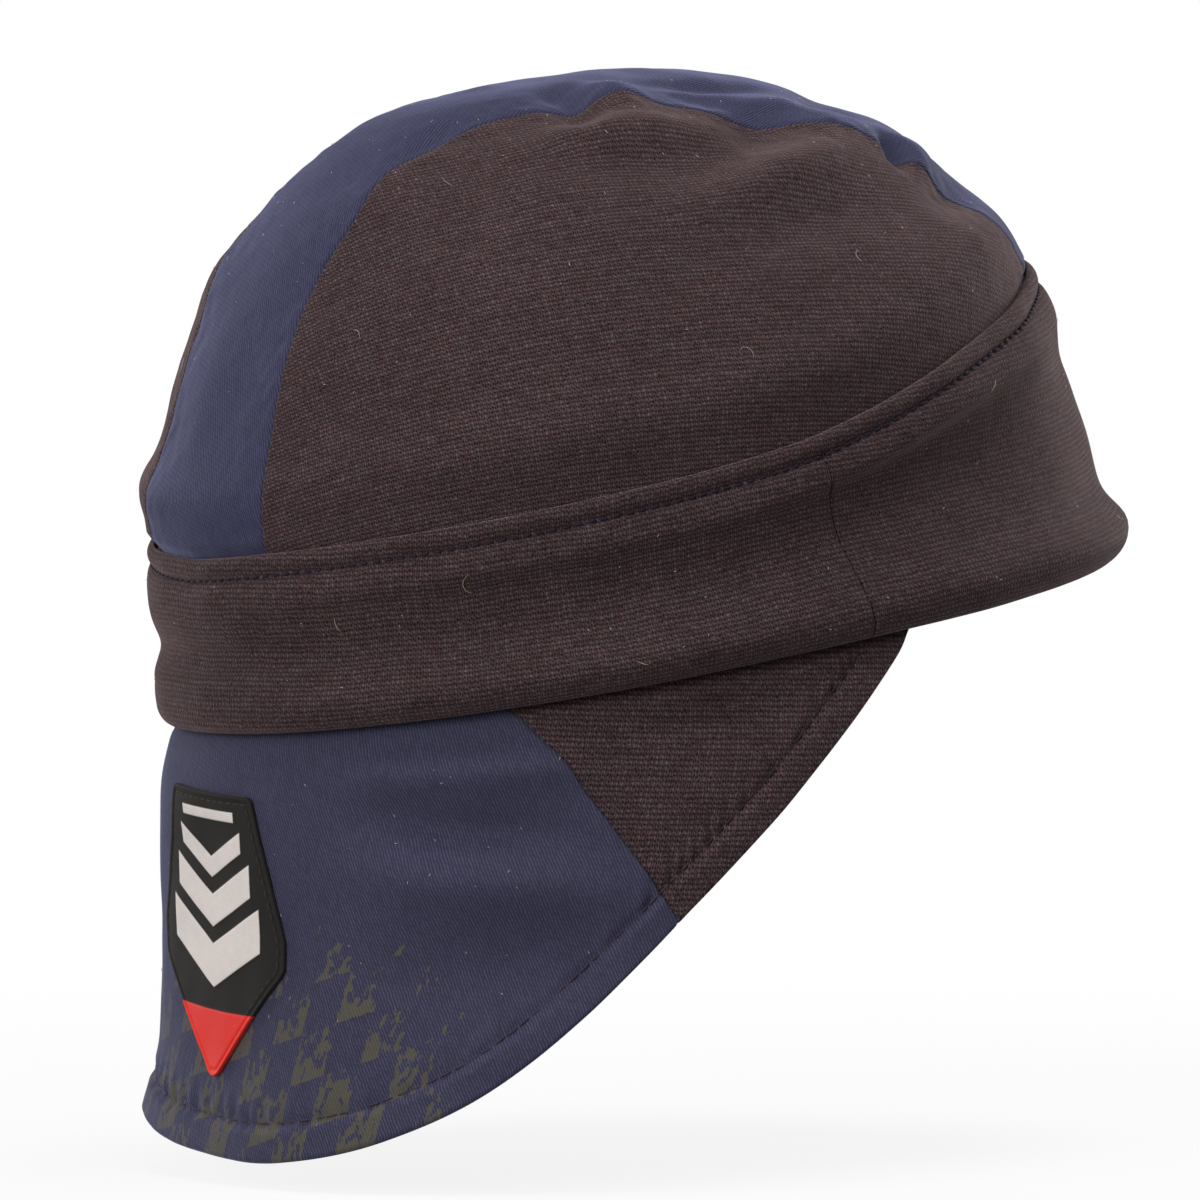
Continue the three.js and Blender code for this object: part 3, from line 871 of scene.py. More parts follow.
@dataclass(frozen=True)
class PatchFinish(Finish):
    """A black woven patch with raised pale chevrons and a red point."""

    name: str
    design: "Chevrons"
    ground: Colour = srgb(42, 40, 37)
    pale: Colour = srgb(244, 234, 228)
    red: Colour = srgb(250, 58, 50)

    def dress(self, net: Wiring, shader: Node) -> None:
        """Wires the weave and the design into the shader. The map runs across and down the patch."""
        flat, space = self.places(net)
        x, y = net.split(flat)
        across, down = (net.wave(net.times(*pair)) for pair in ((x, 2.4), (y, 2.0)))
        weave = net.times(across, down)
        tone = CLOTH_TONE.place(net, Place=space, Broad=0.16, Fine=0.14)["Tone"]
        pale, red = self.design.masks(net, x, y)
        colour = net.blend(red, net.blend(pale, self.ground, self.pale), self.red)
        # The weave is painted darker between its threads, as shade.
        shade = net.times(tone, net.line(weave, 0.16, 0.92))
        rough = net.line(net.math("MAXIMUM", pale, red), -0.16, 0.74)
        self.paint(net, shader, net.scaled(colour, shade), rough)
        self.bump(net, shader, weave, 0.05 * MM, 0.5)
        self.soften(shader, 0.08, srgb(220, 210, 200))


@dataclass(frozen=True)
class FloorFinish(Finish):
    """A pale studio floor that fades into the bright background."""

    name: str
    colour: Colour = srgb(248, 248, 248)
    clear: float = 0.16
    gone: float = 0.7
    lightened: float = 0.85

    def dress(self, net: Wiring, shader: Node) -> None:
        """Mixes the floor's shader with plain white light by the distance from the middle."""
        shader.inputs["Base Color"].default_value = self.colour
        shader.inputs["Roughness"].default_value = 0.9
        shader.inputs["Specular IOR Level"].default_value = 0.1
        space = net.node("TexCoord", {}).outputs["Object"]
        reach = net.node("VectorMath", {0: space}, operation="LENGTH").outputs["Value"]
        seen = net.node("LightPath", {}).outputs["Is Camera Ray"]
        glow = net.node("Emission", {"Strength": net.line(seen, 0.8, 0.2)})
        share = net.ramp(reach, self.clear, self.gone)
        share = net.line(share, 1 - self.lightened, self.lightened)
        both = net.node("MixShader", {0: share})
        net.put(both.inputs[1], shader.outputs[0])
        net.put(both.inputs[2], glow.outputs[0])
        out = next(node for node in net.tree.nodes if node.type == "OUTPUT_MATERIAL")
        net.put(out.inputs["Surface"], both.outputs[0])


# The first colour of each knit is the painted shade between its loops.
CROWN_KNIT = KnitFinish("crown knit", srgb(14, 9, 11), brown=srgb(120, 91, 93), grey=srgb(109, 92, 96))
BAND_KNIT = KnitFinish("band knit", srgb(16, 10, 12), brown=srgb(115, 87, 89), grey=srgb(106, 90, 93))
# The valley colour of each twill is the painted shade between its ribs.
NAVY = TwillFinish("navy twill", valley=srgb(50, 50, 73), rib=srgb(76, 76, 104))
NAVY_PRINTED = TwillFinish("printed twill", valley=srgb(54, 53, 72), rib=srgb(80, 79, 105), printed=True)
NAVY_INSIDE = TwillFinish("twill reverse", valley=srgb(48, 48, 68), rib=srgb(74, 74, 96))
BAND_THREAD = ThreadFinish("band thread", srgb(46, 40, 58))
HEM_THREAD = ThreadFinish("hem thread", srgb(78, 62, 76))
GORE_THREAD = ThreadFinish("gore thread", srgb(52, 44, 50))
PATCH_THREAD = ThreadFinish("patch thread", srgb(62, 56, 50))
PALE_LINT = ThreadFinish("pale lint", srgb(176, 166, 182))
WARM_LINT = ThreadFinish("warm lint", srgb(204, 180, 150))
PURPLE_LINT = ThreadFinish("purple lint", srgb(112, 96, 124))
DUST = ThreadFinish("dust", srgb(208, 198, 196))


def smooth_piece(
    name: str,
    points: Grid,
    made: list[tuple[int, ...]],
    flat: Grid,
    finishes: list[Finish],
    dressed: list[int] | None = None,
) -> Piece:
    """Makes a smooth object with a map of the flat cloth, and links it into the scene.

    Args:
        name: The object's name.
        points: Its corners.
        made: Its faces as corner numbers.
        flat: Each corner's place on the flat cloth, in millimetres.
        finishes: Its materials.
        dressed: Each face's material number, if it isn't the first for all.

    Returns:
        The new object.
    """
    mesh = bpy.data.meshes.new(name)
    mesh.from_pydata(points.reshape(-1, 3).tolist(), [], made)
    corners = np.empty(len(mesh.loops), np.int32)
    mesh.loops.foreach_get("vertex_index", corners)
    layer = mesh.uv_layers.new(name=CLOTH_MAP)
    layer.data.foreach_set("uv", flat.reshape(-1, 2)[corners].astype(np.float32).ravel())
    for finish in finishes:
        mesh.materials.append(finish.material())
    if dressed is not None:
        mesh.polygons.foreach_set("material_index", np.minimum(dressed, len(finishes) - 1))
    mesh.polygons.foreach_set("use_smooth", np.ones(len(made), bool))
    mesh.update()
    return added(name, mesh)


@dataclass
class ClothSolid:
    """A closed body made of rings of points, one ring for each column along the piece.

    Attributes:
        name: The piece's name.
        rings: Points, as columns by ring places by three.
        flat: Places on the flat cloth in millimetres, as columns by ring places by two.
        outer: How many places of a ring, from its first, lie on the outer face.
        lined: Whether the inner face has the second material.
    """

    name: str
    rings: Grid
    flat: Grid
    outer: int
    lined: bool = False

    @classmethod
    def shell(cls, name: str, outer: Grid, inner: Grid, flat: Grid, skip: int) -> "ClothSolid":
        """Joins an outer face with an inner one, of which only every so many-th row is kept."""
        rings = np.concatenate([outer, inner[:, ::-skip]], axis=1)
        return cls(name, rings, np.concatenate([flat, flat[:, ::-skip]], axis=1), outer.shape[1])

    def faces(self) -> tuple[list[tuple[int, ...]], list[int]]:
        """The faces as corner numbers, and each face's material number."""
        columns, places = self.rings.shape[:2]
        made, dressed = [], []
        for column in range(columns - 1):
            here, there = column * places, (column + 1) * places
            for place in range(places):
                after = (place + 1) % places
                made.append((here + place, there + place, there + after, here + after))
                dressed.append(int(self.lined and place >= self.outer - 1))
        first, last = self.cap(0), self.cap(columns - 1)
        made += [face[::-1] for face in last] + first
        return made, dressed + [0] * (len(first) + len(last))

    def cap(self, column: int) -> list[tuple[int, int, int]]:
        """Closes one end with triangles between the outer and the inner side of its ring.

        Args:
            column: The ring's number.

        Returns:
            The triangles as corner numbers.
        """
        places = self.rings.shape[1]
        start = column * places
        outside = np.arange(self.outer)
        inside = np.arange(places - 1, self.outer - 1, -1)
        out = lengths_along(self.rings[column, outside])
        back = lengths_along(self.rings[column, inside])
        out, back = out / out[-1], back / back[-1]
        one, other, made = 0, 0, []
        while one < len(outside) - 1 or other < len(inside) - 1:
            low, high = start + outside[one], start + inside[other]
            if other == len(inside) - 1 or (one < len(outside) - 1 and out[one + 1] <= back[other + 1]):
                one += 1
                made.append((int(low), int(start + outside[one]), int(high)))
            else:
                other += 1
                made.append((int(low), int(start + inside[other]), int(high)))
        return made

    def declare(self, piece: Piece, hold: Hold, rests_on: list[str]) -> None:
        """Logs the cloth's flat size and area, read from the cloth's map.

        Args:
            piece: The piece made from this solid. Not used.
            hold: How it is held. Not used.
            rests_on: The nodes or pieces that it lies on or is sewn to. Not used.
        """
        face = self.flat[:, : self.outer]
        wide, long = (face.max(axis=(0, 1)) - face.min(axis=(0, 1))) * MM
        one, other = face[1:, 1:] - face[:-1, :-1], face[1:, :-1] - face[:-1, 1:]
        twice = np.abs(one[..., 0] * other[..., 1] - one[..., 1] * other[..., 0])
        area = min(float(twice.sum()) / 2 * MM * MM, float(wide * long))
        size = (round(float(wide), 3), round(float(long), 3))
        LOG.info("%s is cut from %s m, %.4f square metres", self.name, size, area)

    def build(self, finishes: list[Finish]) -> Piece:
        """Makes the object, with its faces turned outward.

        Args:
            finishes: The material outside, and the one inside if it has its own.

        Returns:
            The new object, linked into the scene.
        """
        made, dressed = self.faces()
        points = self.rings.reshape(-1, 3)
        if self._volume(points, made) < 0:
            made = [face[::-1] for face in made]
        return smooth_piece(self.name, points, made, self.flat, finishes, dressed)

    @staticmethod
    def _volume(points: Grid, made: list[tuple[int, ...]]) -> float:
        """Six times the signed volume inside the faces."""
        total = 0.0
        for size in (3, 4):
            chosen = np.array([face for face in made if len(face) == size])
            if not len(chosen):
                continue
            for second in range(1, size - 1):
                a, b, c = (points[chosen[:, n]] for n in (0, second, second + 1))
                total += float(np.einsum("ij,ij->", a, np.cross(b, c)))
        return total


def fasten(piece: Piece, slot: Slot, *nodes: str) -> Piece:
    """Makes a piece ride on the cap and hides the CAD nodes that it stands for.

    Args:
        piece: The piece.
        slot: Its material slot. Not used.
        *nodes: The CAD nodes that it replaces, if any.

    Returns:
        The same piece.
    """
    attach(piece, "root")
    if nodes:
        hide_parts(*nodes)
    return piece


@dataclass(frozen=True)
class Tubes:
    """Thin round threads, given as threads by steps by three, that are joined into one piece."""

    name: str
    finish: ThreadFinish
    sides: int = 6

    def build(self, middle: Grid, out: Grid, thick: Grid, slot: Slot) -> Piece:
        """Makes the piece.

        Args:
            middle: The threads' middle lines.
            out: A direction off the cloth at each step.
            thick: The radius at each step.
            slot: The piece's material slot.

        Returns:
            The finished piece.
        """
        across = sideways(middle, out)
        turn = np.arange(self.sides) * 2 * math.pi / self.sides
        ring = out[:, :, None] * np.cos(turn)[:, None] + across[:, :, None] * np.sin(turn)[:, None]
        body = middle[:, :, None] + ring * thick[..., None, None]
        count, steps = middle.shape[:2]
        made = [face for thread in range(count) for face in self.faces(thread * steps * self.sides, steps)]
        run = lengths_along(middle)[..., None] / MM
        flat = np.stack(np.broadcast_arrays(run, np.arange(self.sides) / self.sides), axis=-1)
        return fasten(smooth_piece(self.name, body, made, flat, [self.finish]), slot)

    def faces(self, start: int, steps: int) -> list[tuple[int, ...]]:
        """The faces of one thread, with its two ends.

        Args:
            start: The thread's first corner number.
            steps: How many rings it has.

        Returns:
            The faces as corner numbers.
        """
        sides = range(self.sides)
        made = [tuple(start + side for side in sides)[::-1]]
        for step in range(steps - 1):
            low = start + step * self.sides
            for side in sides:
                after = (side + 1) % self.sides
                made.append((low + side, low + after, low + self.sides + after, low + self.sides + side))
        made.append(tuple(start + (steps - 1) * self.sides + side for side in sides))
        return made


@dataclass(frozen=True)
class StitchRow:
    """A row of stitches along a line on the cloth."""

    name: str
    finish: ThreadFinish
    pitch: float = 2.6 * MM
    share: float = 0.8
    radius: float = 0.2 * MM
    proud: float = 0.1 * MM
    steps: int = 8
    seed: int = 5

    def build(self, points: Grid, normals: Grid, slot: Slot) -> Piece:
        """Makes the row as one mesh of short arched threads that dive into the cloth.

        Args:
            points: The line that the stitches follow.
            normals: The cloth's outward normals along the line.
            slot: The material slot of the row.

        Returns:
            The finished piece.
        """
        run = lengths_along(points)
        count = int(run[-1] / self.pitch)
        draw = np.random.default_rng(self.seed)
        starts = (np.arange(count) + 0.5 * (1 - self.share)) * self.pitch
        starts += draw.uniform(-0.05, 0.05, count) * self.pitch
        t = np.linspace(0, 1, self.steps + 1)
        at = starts[:, None] + t * self.pitch * self.share
        middle = np.stack([np.interp(at, run, points[:, axis]) for axis in range(3)], axis=-1)
        out = np.stack([np.interp(at, run, normals[:, axis]) for axis in range(3)], axis=-1)
        across = sideways(middle, out)
        arch = np.sqrt(np.maximum(1 - (2 * t - 1) ** 4, 0))
        rise = mix(-1.6 * self.radius, self.proud, arch)
        skew = draw.uniform(-0.35, 0.35, count)[:, None] * self.radius * (2 * t - 1)
        middle = middle + out * rise[:, None] + across * skew[..., None]
        thick = self.radius * mix(0.7, 1.0, arch) + np.zeros(middle.shape[:2])
        return Tubes(self.name, self.finish).build(middle, out, thick, slot)


class Line:
    """A seam as a dense line of points, which gives each point's distance and place along it."""

    spacing: float = 0.2 * MM

    def __init__(self, points: Grid) -> None:
        """Spaces the points evenly and sorts them for the search."""
        run = lengths_along(points)
        self.places = np.arange(0, run[-1], self.spacing)
        dense = np.stack([np.interp(self.places, run, points[:, axis]) for axis in range(3)], axis=-1)
        self.tree = kdtree.KDTree(len(dense))
        for number, point in enumerate(dense):
            self.tree.insert(point, number)
        self.tree.balance()

    def near(self, points: Grid) -> tuple[Grid, Grid]:
        """The distance of each point from the line, and its place along it."""
        found = [self.tree.find(point)[1:] for point in points.reshape(-1, 3)]
        numbers = np.array([number for number, _ in found]).reshape(points.shape[:-1])
        apart = np.array([distance for _, distance in found]).reshape(points.shape[:-1])
        return apart, self.places[numbers]


@dataclass(frozen=True)
class Band:
    """The turned-up knitted band, in a front and a back piece that meet in a seam over each ear."""

    back: float = 35 * MM
    front: float = 62 * MM
    droop: float = 1.8 * MM
    round: float = 3.5 * MM
    cloth: float = 2.4 * MM
    gap: float = 0.3 * MM
    tuck: float = 9 * MM
    welt: float = 2.4 * MM
    stitch_down: float = 4.4 * MM
    pitch: float = 2.6 * MM
    seam_forward: float = 1 * MM
    seam_lean: float = 6 * MM
    pinch: float = 0.12 * MM
    seam_edge: float = 0.8 * MM
    seam_rounds: int = 6
    columns: int = 430
    face_rows: int = 38
    edge_rows: int = 9
    welt_rows: int = 40
    inner_rows: int = 11
    edges: Table = Table(
        ("angle", "rise", "droop"),
        (
            (0, 1.0, 1.0),
            (30, 0.92, 0.9),
            (60, 0.65, 0.5),
            (90, 0.27, 0.0),
            (120, 0.13, 0.0),
            (150, 0.06, 0.0),
            (180, 0.0, 0.0),
        ),
    )
    welt_face: Table = Table(
        ("down", "out"),
        (
            (0.0, 0.28),
            (0.12, 0.52),
            (0.35, 0.72),
            (0.7, 0.82),
            (1.05, 0.8),
            (1.35, 0.7),
            (1.6, 0.53),
            (1.83, 0.42),
            (2.05, 0.52),
            (2.35, 0.74),
            (2.8, 0.87),
            (3.4, 0.96),
            (4.5, 1.0),
        ),
    )
    folds: Folds = Folds(
        3.4 * MM,
        (
            (180, 0.42, 42, 0.15, -0.85),
            (95, 0.5, 36, 0.16, -0.4),
            (265, 0.48, 36, 0.16, -0.45),
            (12, 0.07, 38, 0.1, 1.1),
            (120, 0.14, 30, 0.1, 0.25),
            (245, 0.16, 30, 0.1, 0.3),
            (15, 0.4, 30, 0.14, 0.2),
            (10, 0.7, 40, 0.1, -0.5),
        ),
    )
    ripples: Ripples = Ripples(11, 0.5 * MM, 9 * MM, 45 * MM)
    creases: Creases = Creases(
        (
            (168, 0.56, 78, 0.52, 8, -3.2),
            (176, 0.15, 62, 0.13, 5.5, 3.4),
            (98, 0.66, 40, 0.58, 12, -4.2),
            (84, 0.16, 20, 0.08, 6, 3.4),
            (205, 0.62, 280, 0.6, 8, -1.4),
            (196, 0.3, 268, 0.3, 6.5, 1.3),
            (262, 0.66, 315, 0.6, 9, -1.2),
            (276, 0.28, 332, 0.14, 6, 1.2),
        )
    )

    def top(self, angle: Grid) -> Grid:
        """The height of the top edge."""
        return mix(self.back, self.front, self.edges.read("rise", from_front(angle)))

    def bottom(self, angle: Grid) -> Grid:
        """The height of the bottom edge."""
        return -self.droop * self.edges.read("droop", from_front(angle))

    def lift(self, angle: Grid, height: Grid) -> Grid:
        """The soft folds, which dent only between the two tucks.

        Args:
            angle: Degrees round the cap.
            height: Heights over the rim.

        Returns:
            How far the cloth stands out, in metres.
        """
        top = self.top(angle)
        lift = self.folds.lift(angle, height / top)
        still = np.zeros(np.broadcast(angle, height).shape)
        lift = lift + self.creases.lift(FORM.at_height(angle + still, height + still, still), self.place)
        from_tuck = np.minimum(height, top - height) - self.tuck
        return np.where(lift > 0, lift, lift * smoothstep(from_tuck, 0, self.tuck / 2))

    def place(self, angle: Grid, share: Grid) -> Grid:
        """The form's place at an angle and a share of the way up the band."""
        return FORM.at_height(angle, mix(self.bottom(angle), self.top(angle), share), np.zeros(angle.shape))

    def surface(self, angle: Grid, share: Grid) -> Grid:
        """The band's outer place at an angle and a share of the way up it."""
        height = mix(self.bottom(angle), self.top(angle), share)
        outer = self.outer(angle, height)
        return outer + FORM.normal(angle, FORM.climb_at(height)) * self.ripples.lift(outer)[..., None]

    def seam_angle(self, height: Grid) -> Grid:
        """The angle of the right side seam at a height."""
        forward = self.seam_forward + self.seam_lean * (1 - height / self.top(np.array(90.0)))
        middle, long, _ = FORM.section(FORM.climb_at(np.maximum(height, 0)))
        return np.degrees(np.arccos((forward - middle) / long))

    def heights(self, angle: Grid) -> Grid:
        """The heights of the outer rows at angles given by column and row, or by column and one.

        Args:
            angle: Degrees round the cap, as columns by rows or by one.

        Returns:
            The heights over the rim, from the bottom up.
        """
        zone = self.welt_face.rows[-1][0] * self.welt
        edge = self.round * (1 - np.cos(np.linspace(0, math.pi / 2, self.edge_rows)))
        share = np.linspace(0, 1, self.face_rows)[1:]
        welt = zone * (1 - np.linspace(0, 1, self.welt_rows)[1:])
        above = np.concatenate([edge, np.full(len(share) + len(welt), self.round)])
        below = np.concatenate([np.full(len(edge) + len(share), zone), welt])
        part = np.concatenate([np.zeros(len(edge)), share, np.ones(len(welt))])
        return mix(self.bottom(angle) + above, self.top(angle) - below, part)

    def outer(self, angle: Grid, height: Grid) -> Grid:
        """The outer face's points, with welt, rounded edge and folds but no ripples.

        Args:
            angle: Degrees round the cap.
            height: Heights over the rim.

        Returns:
            The points.
        """
        down = (self.top(angle) - height) / self.welt
        out = self.welt_face.read("out", down)
        share = np.clip((height - self.bottom(angle)) / self.round, 0, 1)
        out = out * np.sqrt(np.maximum(1 - (1 - share) ** 2, 0))
        return FORM.at_height(angle, height, self.gap + out * self.cloth + self.lift(angle, height))

    def piece(self, is_front: bool) -> ClothSolid:
        """One of the two pieces.

        Args:
            is_front: Whether it is the front piece.

        Returns:
            The closed shell.
        """
        share = crowded(self.columns, 1.4)[:, None]
        middle = 0.0 if is_front else 180.0
        angle = middle + 80.0 * share
        for _ in range(self.seam_rounds):
            heights = self.heights(angle)
            seam = self.seam_angle(heights)
            half = seam if is_front else 180 - seam
            angle = middle + share * half
        outer = self.outer(angle, heights)
        normals = FORM.normal(angle, FORM.climb_at(np.maximum(heights, 0)))
        outer = outer + normals * self.detail(angle, heights, outer, (1 - np.abs(share)) * half)[..., None]
        down = np.linspace(0, 1, self.inner_rows + 2)[1:-1]
        inner_heights = mix(heights[:, -1:], heights[:, :1], down)
        seam = self.seam_angle(inner_heights)
        inner_angle = middle + share * (seam if is_front else 180 - seam)
        sunk = np.minimum(self.lift(inner_angle, inner_heights), 0)
        inner = FORM.at_height(inner_angle, inner_heights, self.gap + sunk)
        along = -FORM.arc(np.concatenate([angle, inner_angle], axis=1))
        rise = lengths_along(outer)
        behind = rise[:, -1:] + heights[:, -1:] - inner_heights
        flat = np.stack([along, np.concatenate([rise, behind], axis=1)], axis=-1) / MM
        name = "band_front_cloth" if is_front else "band_back_cloth"
        return ClothSolid(name, np.concatenate([outer, inner], axis=1), flat, outer.shape[1])

    def detail(self, angle: Grid, height: Grid, outer: Grid, from_seam: Grid) -> Grid:
        """The small relief: rounded seam edges, ripples, and the pinch of each stitch.

        Args:
            angle: Degrees round the cap.
            height: Heights over the rim.
            outer: The outer points before the small relief.
            from_seam: Degrees from the nearer side seam.

        Returns:
            How far the cloth stands out, in metres.
        """
        reach = np.radians(from_seam) * FORM.half_width
        down = self.top(angle) - height
        from_row = (down - self.stitch_down) / MM
        seam = rounded(reach, self.seam_edge) * smoothstep(down, self.stitch_down - MM, self.stitch_down)
        seam = seam + self.ripples.lift(outer)
        beat = 1 + np.cos(2 * math.pi * FORM.arc(angle) / self.pitch)
        return seam - self.pinch * np.exp(-(from_row**2)) * beat

    def stitches(self) -> Piece:
        """The row of stitches in the groove below the welt."""
        angle = np.linspace(0, 360, 1441)
        height = self.top(angle) - self.stitch_down
        normals = FORM.normal(angle, FORM.climb_at(height))
        outer = self.outer(angle, height)
        points = outer + normals * self.ripples.lift(outer)[..., None]
        row = StitchRow("band_stitches", BAND_THREAD, self.pitch, 0.66, radius=0.27 * MM, proud=0.2 * MM)
        return row.build(points, normals, Slot.BAND_KNIT)

    def build(self) -> list[Piece]:
        """Makes the band's pieces."""
        made = []
        for is_front, node in ((True, "band_front"), (False, "band_back")):
            cloth = self.piece(is_front)
            piece = fasten(cloth.build([BAND_KNIT]), Slot.BAND_KNIT, node)
            cloth.declare(piece, Hold.FOLDED, ["crown_side_right", "crown_side_left"])
            made.append(piece)
        made.append(self.stitches())
        return made


BAND = Band()


@dataclass(frozen=True)
class Crown:
    """The crown: a twill strip from front to back between two knitted side panels."""

    cloth: float = 1.5 * MM
    strip_half: float = 39 * MM
    foot_height: float = 6 * MM
    bulge_height: float = 13 * MM
    bulge_reach: float = 7.5 * MM
    fold_start: float = 12 * MM
    hidden: float = 3 * MM
    strip_edge: float = 1 * MM
    side_edge: float = 0.8 * MM
    pull_reach: float = 9 * MM
    spread_radius: float = 95.0
    width_rounds: int = 14
    strip_margin: float = 2.0
    strip_columns: int = 460
    strip_rows: int = 91
    side_columns: int = 400
    side_rows: int = 84
    feet: Table = Table(
        ("angle", "foot", "bulge"),
        (
            (0, 2.0, 1.2),
            (30, 2.0, 1.4),
            (60, 0.5, 2.6),
            (90, 0.0, 2.8),
            (140, 0.2, 2.2),
            (180, 1.6, 0.9),
            (210, 2.3, 0.4),
            (260, 0.6, 1.6),
            (310, 0.9, 1.8),
            (360, 2.0, 1.2),
        ),
    )
    strip_widths: Table = Table(
        ("along", "half"),
        (
            (-1.0, 0.59),
            (-0.85, 0.515),
            (-0.77, 0.56),
            (-0.67, 0.5),
            (-0.6, 0.52),
            (-0.35, 0.64),
            (-0.1, 0.84),
            (0.15, 0.99),
            (0.35, 1.07),
            (0.58, 1.09),
            (0.75, 1.12),
            (0.88, 1.03),
            (1.0, 0.95),
        ),
    )
    folds: Folds = Folds(
        2.6 * MM,
        (
            (84, 0.77, 13, 0.05, 0.9),
            (47, 0.61, 9, 0.045, 0.8),
            (38, 0.535, 8, 0.035, 1.0),
            (40, 0.47, 10, 0.03, -0.8),
            (25, 0.63, 14, 0.035, -0.8),
            (62, 0.66, 9, 0.045, -0.9),
            (80, 0.62, 12, 0.035, -0.5),
            (112, 0.6, 16, 0.08, 0.4),
            (150, 0.62, 12, 0.05, 0.4),
            (204, 0.52, 13, 0.045, 0.6),
            (204, 0.27, 22, 0.05, 0.8),
            (262, 0.72, 16, 0.05, 0.8),
            (300, 0.6, 12, 0.05, 0.7),
            (285, 0.5, 12, 0.04, -0.6),
        ),
    )
    creases: Creases = Creases(
        (
            (115, 0.69, 73, 0.648, 6.5, 5.2),
            (106, 0.62, 80, 0.575, 12, -1.8),
            (100, 0.74, 80, 0.7, 6, 1.4),
            (85, 0.85, 103, 0.68, 4.5, -3.4),
            (74, 0.82, 88, 0.69, 5, 2.2),
            (58, 0.66, 76, 0.6, 5, -1.8),
            (100, 0.535, 50, 0.575, 6, 3.6),
            (106, 0.475, 52, 0.5, 8, -2.8),
            (34, 0.57, 48, 0.525, 3.2, -6.0),
            (68, 0.74, 50, 0.65, 3, -1.6),
            (62, 0.79, 34, 0.69, 3, -1.8),
            (70, 0.71, 40, 0.65, 3.5, 1.8),
            (106, 0.8, 72, 0.86, 3, -1.2),
            (152, 0.68, 128, 0.8, 2.5, -1.6),
            (158, 0.6, 140, 0.76, 8, 1.4),
            (150, 0.5, 110, 0.46, 10, 0.9),
            (60, 0.42, 36, 0.4, 7, 1.2),
            (250, 0.72, 284, 0.63, 5, 1.4),
            (248, 0.66, 280, 0.59, 5, -1.3),
            (268, 0.84, 262, 0.7, 4, -1.6),
            (300, 0.6, 318, 0.54, 4, -1.6),
            (225, 0.6, 262, 0.52, 8, 0.8),
            (8, 0.62, 350, 0.7, 5, -0.9),
        )
    )
    ripples: Ripples = Ripples(3, 0.45 * MM, 8 * MM, 42 * MM)
    pulls: Ripples = Ripples(23, 0.22 * MM, 3.2 * MM, 7 * MM)

    def lift(self, angle: Grid, climb: Grid) -> Grid:
        """The crown's soft folds, and the tuck over which it bulges above the band.

        Args:
            angle: Degrees round the cap.
            climb: Climbs up the form.

        Returns:
            How far the cloth stands out, in metres.
        """
        above = FORM.height(climb) - BAND.top(angle)
        foot = self.feet.read("foot", angle % 360) * smoothstep(above, -0.5 * MM, 2.5 * MM)
        foot = foot * (1 - smoothstep(above, self.foot_height, 3 * self.foot_height))
        folds = self.folds.lift(angle, climb) + self.creases.lift(FORM.point(angle, climb), FORM.point)
        folds = folds * smoothstep(above, 0, self.fold_start)
        bulge = np.exp(-(((above - self.bulge_height) / self.bulge_reach) ** 2))
        return folds + (self.feet.read("bulge", angle % 360) * bulge + foot) * MM

    def surface(self, angle: Grid, climb: Grid) -> Grid:
        """The crown's outer place, away from its seams."""
        return self.rippled(FORM.lifted(angle, climb, self.lift(angle, climb)), angle, climb)

    def rippled(self, smooth: Grid, angle: Grid, climb: Grid) -> Grid:
        """Adds the ripples to smooth points of the crown, less of them close to the band."""
        shown = smoothstep(FORM.height(climb) - BAND.top(angle), 0, self.fold_start)
        return smooth + FORM.normal(angle, climb) * (self.ripples.lift(smooth) * shown)[..., None]

    def half_strip(self, turn: Grid) -> Grid:
        """Half the strip's width on rays that turn from the front over the top to the back.

        Args:
            turn: Degrees of each ray, as in on_ray of the head form.

        Returns:
            The half widths in metres.
        """
        side = np.full(np.shape(turn), self.strip_half)
        for _ in range(self.width_rounds):
            angle, climb = FORM.on_ray(turn, side)
            back = FORM.point(angle, climb)[..., 1]
            along = np.where(back > 0, -back / FORM.reach_back, -back / FORM.reach_front)
            side = self.strip_half * self.strip_widths.read("half", along)
        return side

    def turns(self) -> tuple[float, float]:
        """The rays on which the strip's seam passes the hidden line behind the band, front and back."""
        turn = np.linspace(0, 180, 1801)
        angle, climb = FORM.on_ray(turn, self.half_strip(turn))
        above = FORM.height(climb) - BAND.top(angle) + BAND.tuck
        shown = turn[above > 0]
        return float(shown[0]), float(shown[-1])

    def seam(self, count: int) -> tuple[Grid, Grid]:
        """The right seam of the strip from front to back.

        Args:
            count: How many evenly spaced points it has.

        Returns:
            The points' angles and climbs.
        """
        first, last = self.turns()
        turn = np.linspace(first, last, 1201)
        angle, climb = FORM.on_ray(turn, self.half_strip(turn))
        run = lengths_along(FORM.point(angle, climb))
        even = np.interp(np.linspace(0, run[-1], count), run, turn)
        return FORM.on_ray(even, self.half_strip(even))

    def finished(self, angle: Grid, climb: Grid, line: Line, radius: float) -> tuple[Grid, Grid]:
        """The outer points of a panel, with folds, ripples, seam edge and small pulls at the seam.

        Args:
            angle: Degrees round the cap.
            climb: Climbs up the form.
            line: The seam.
            radius: The radius of the cloth's folded edge in the seam.

        Returns:
            The outer points and the smooth points under their seam edge.
        """
        smooth = FORM.lifted(angle, climb, self.lift(angle, climb))
        apart, _ = line.near(FORM.point(angle, climb))
        pull = self.pulls.lift(smooth) * np.exp(-apart / self.pull_reach) * smoothstep(apart, 0, 2 * MM)
        smooth = self.rippled(smooth, angle, climb)
        edge = (rounded(apart, radius) + pull)[..., None]
        return smooth + FORM.normal(angle, climb) * edge, smooth

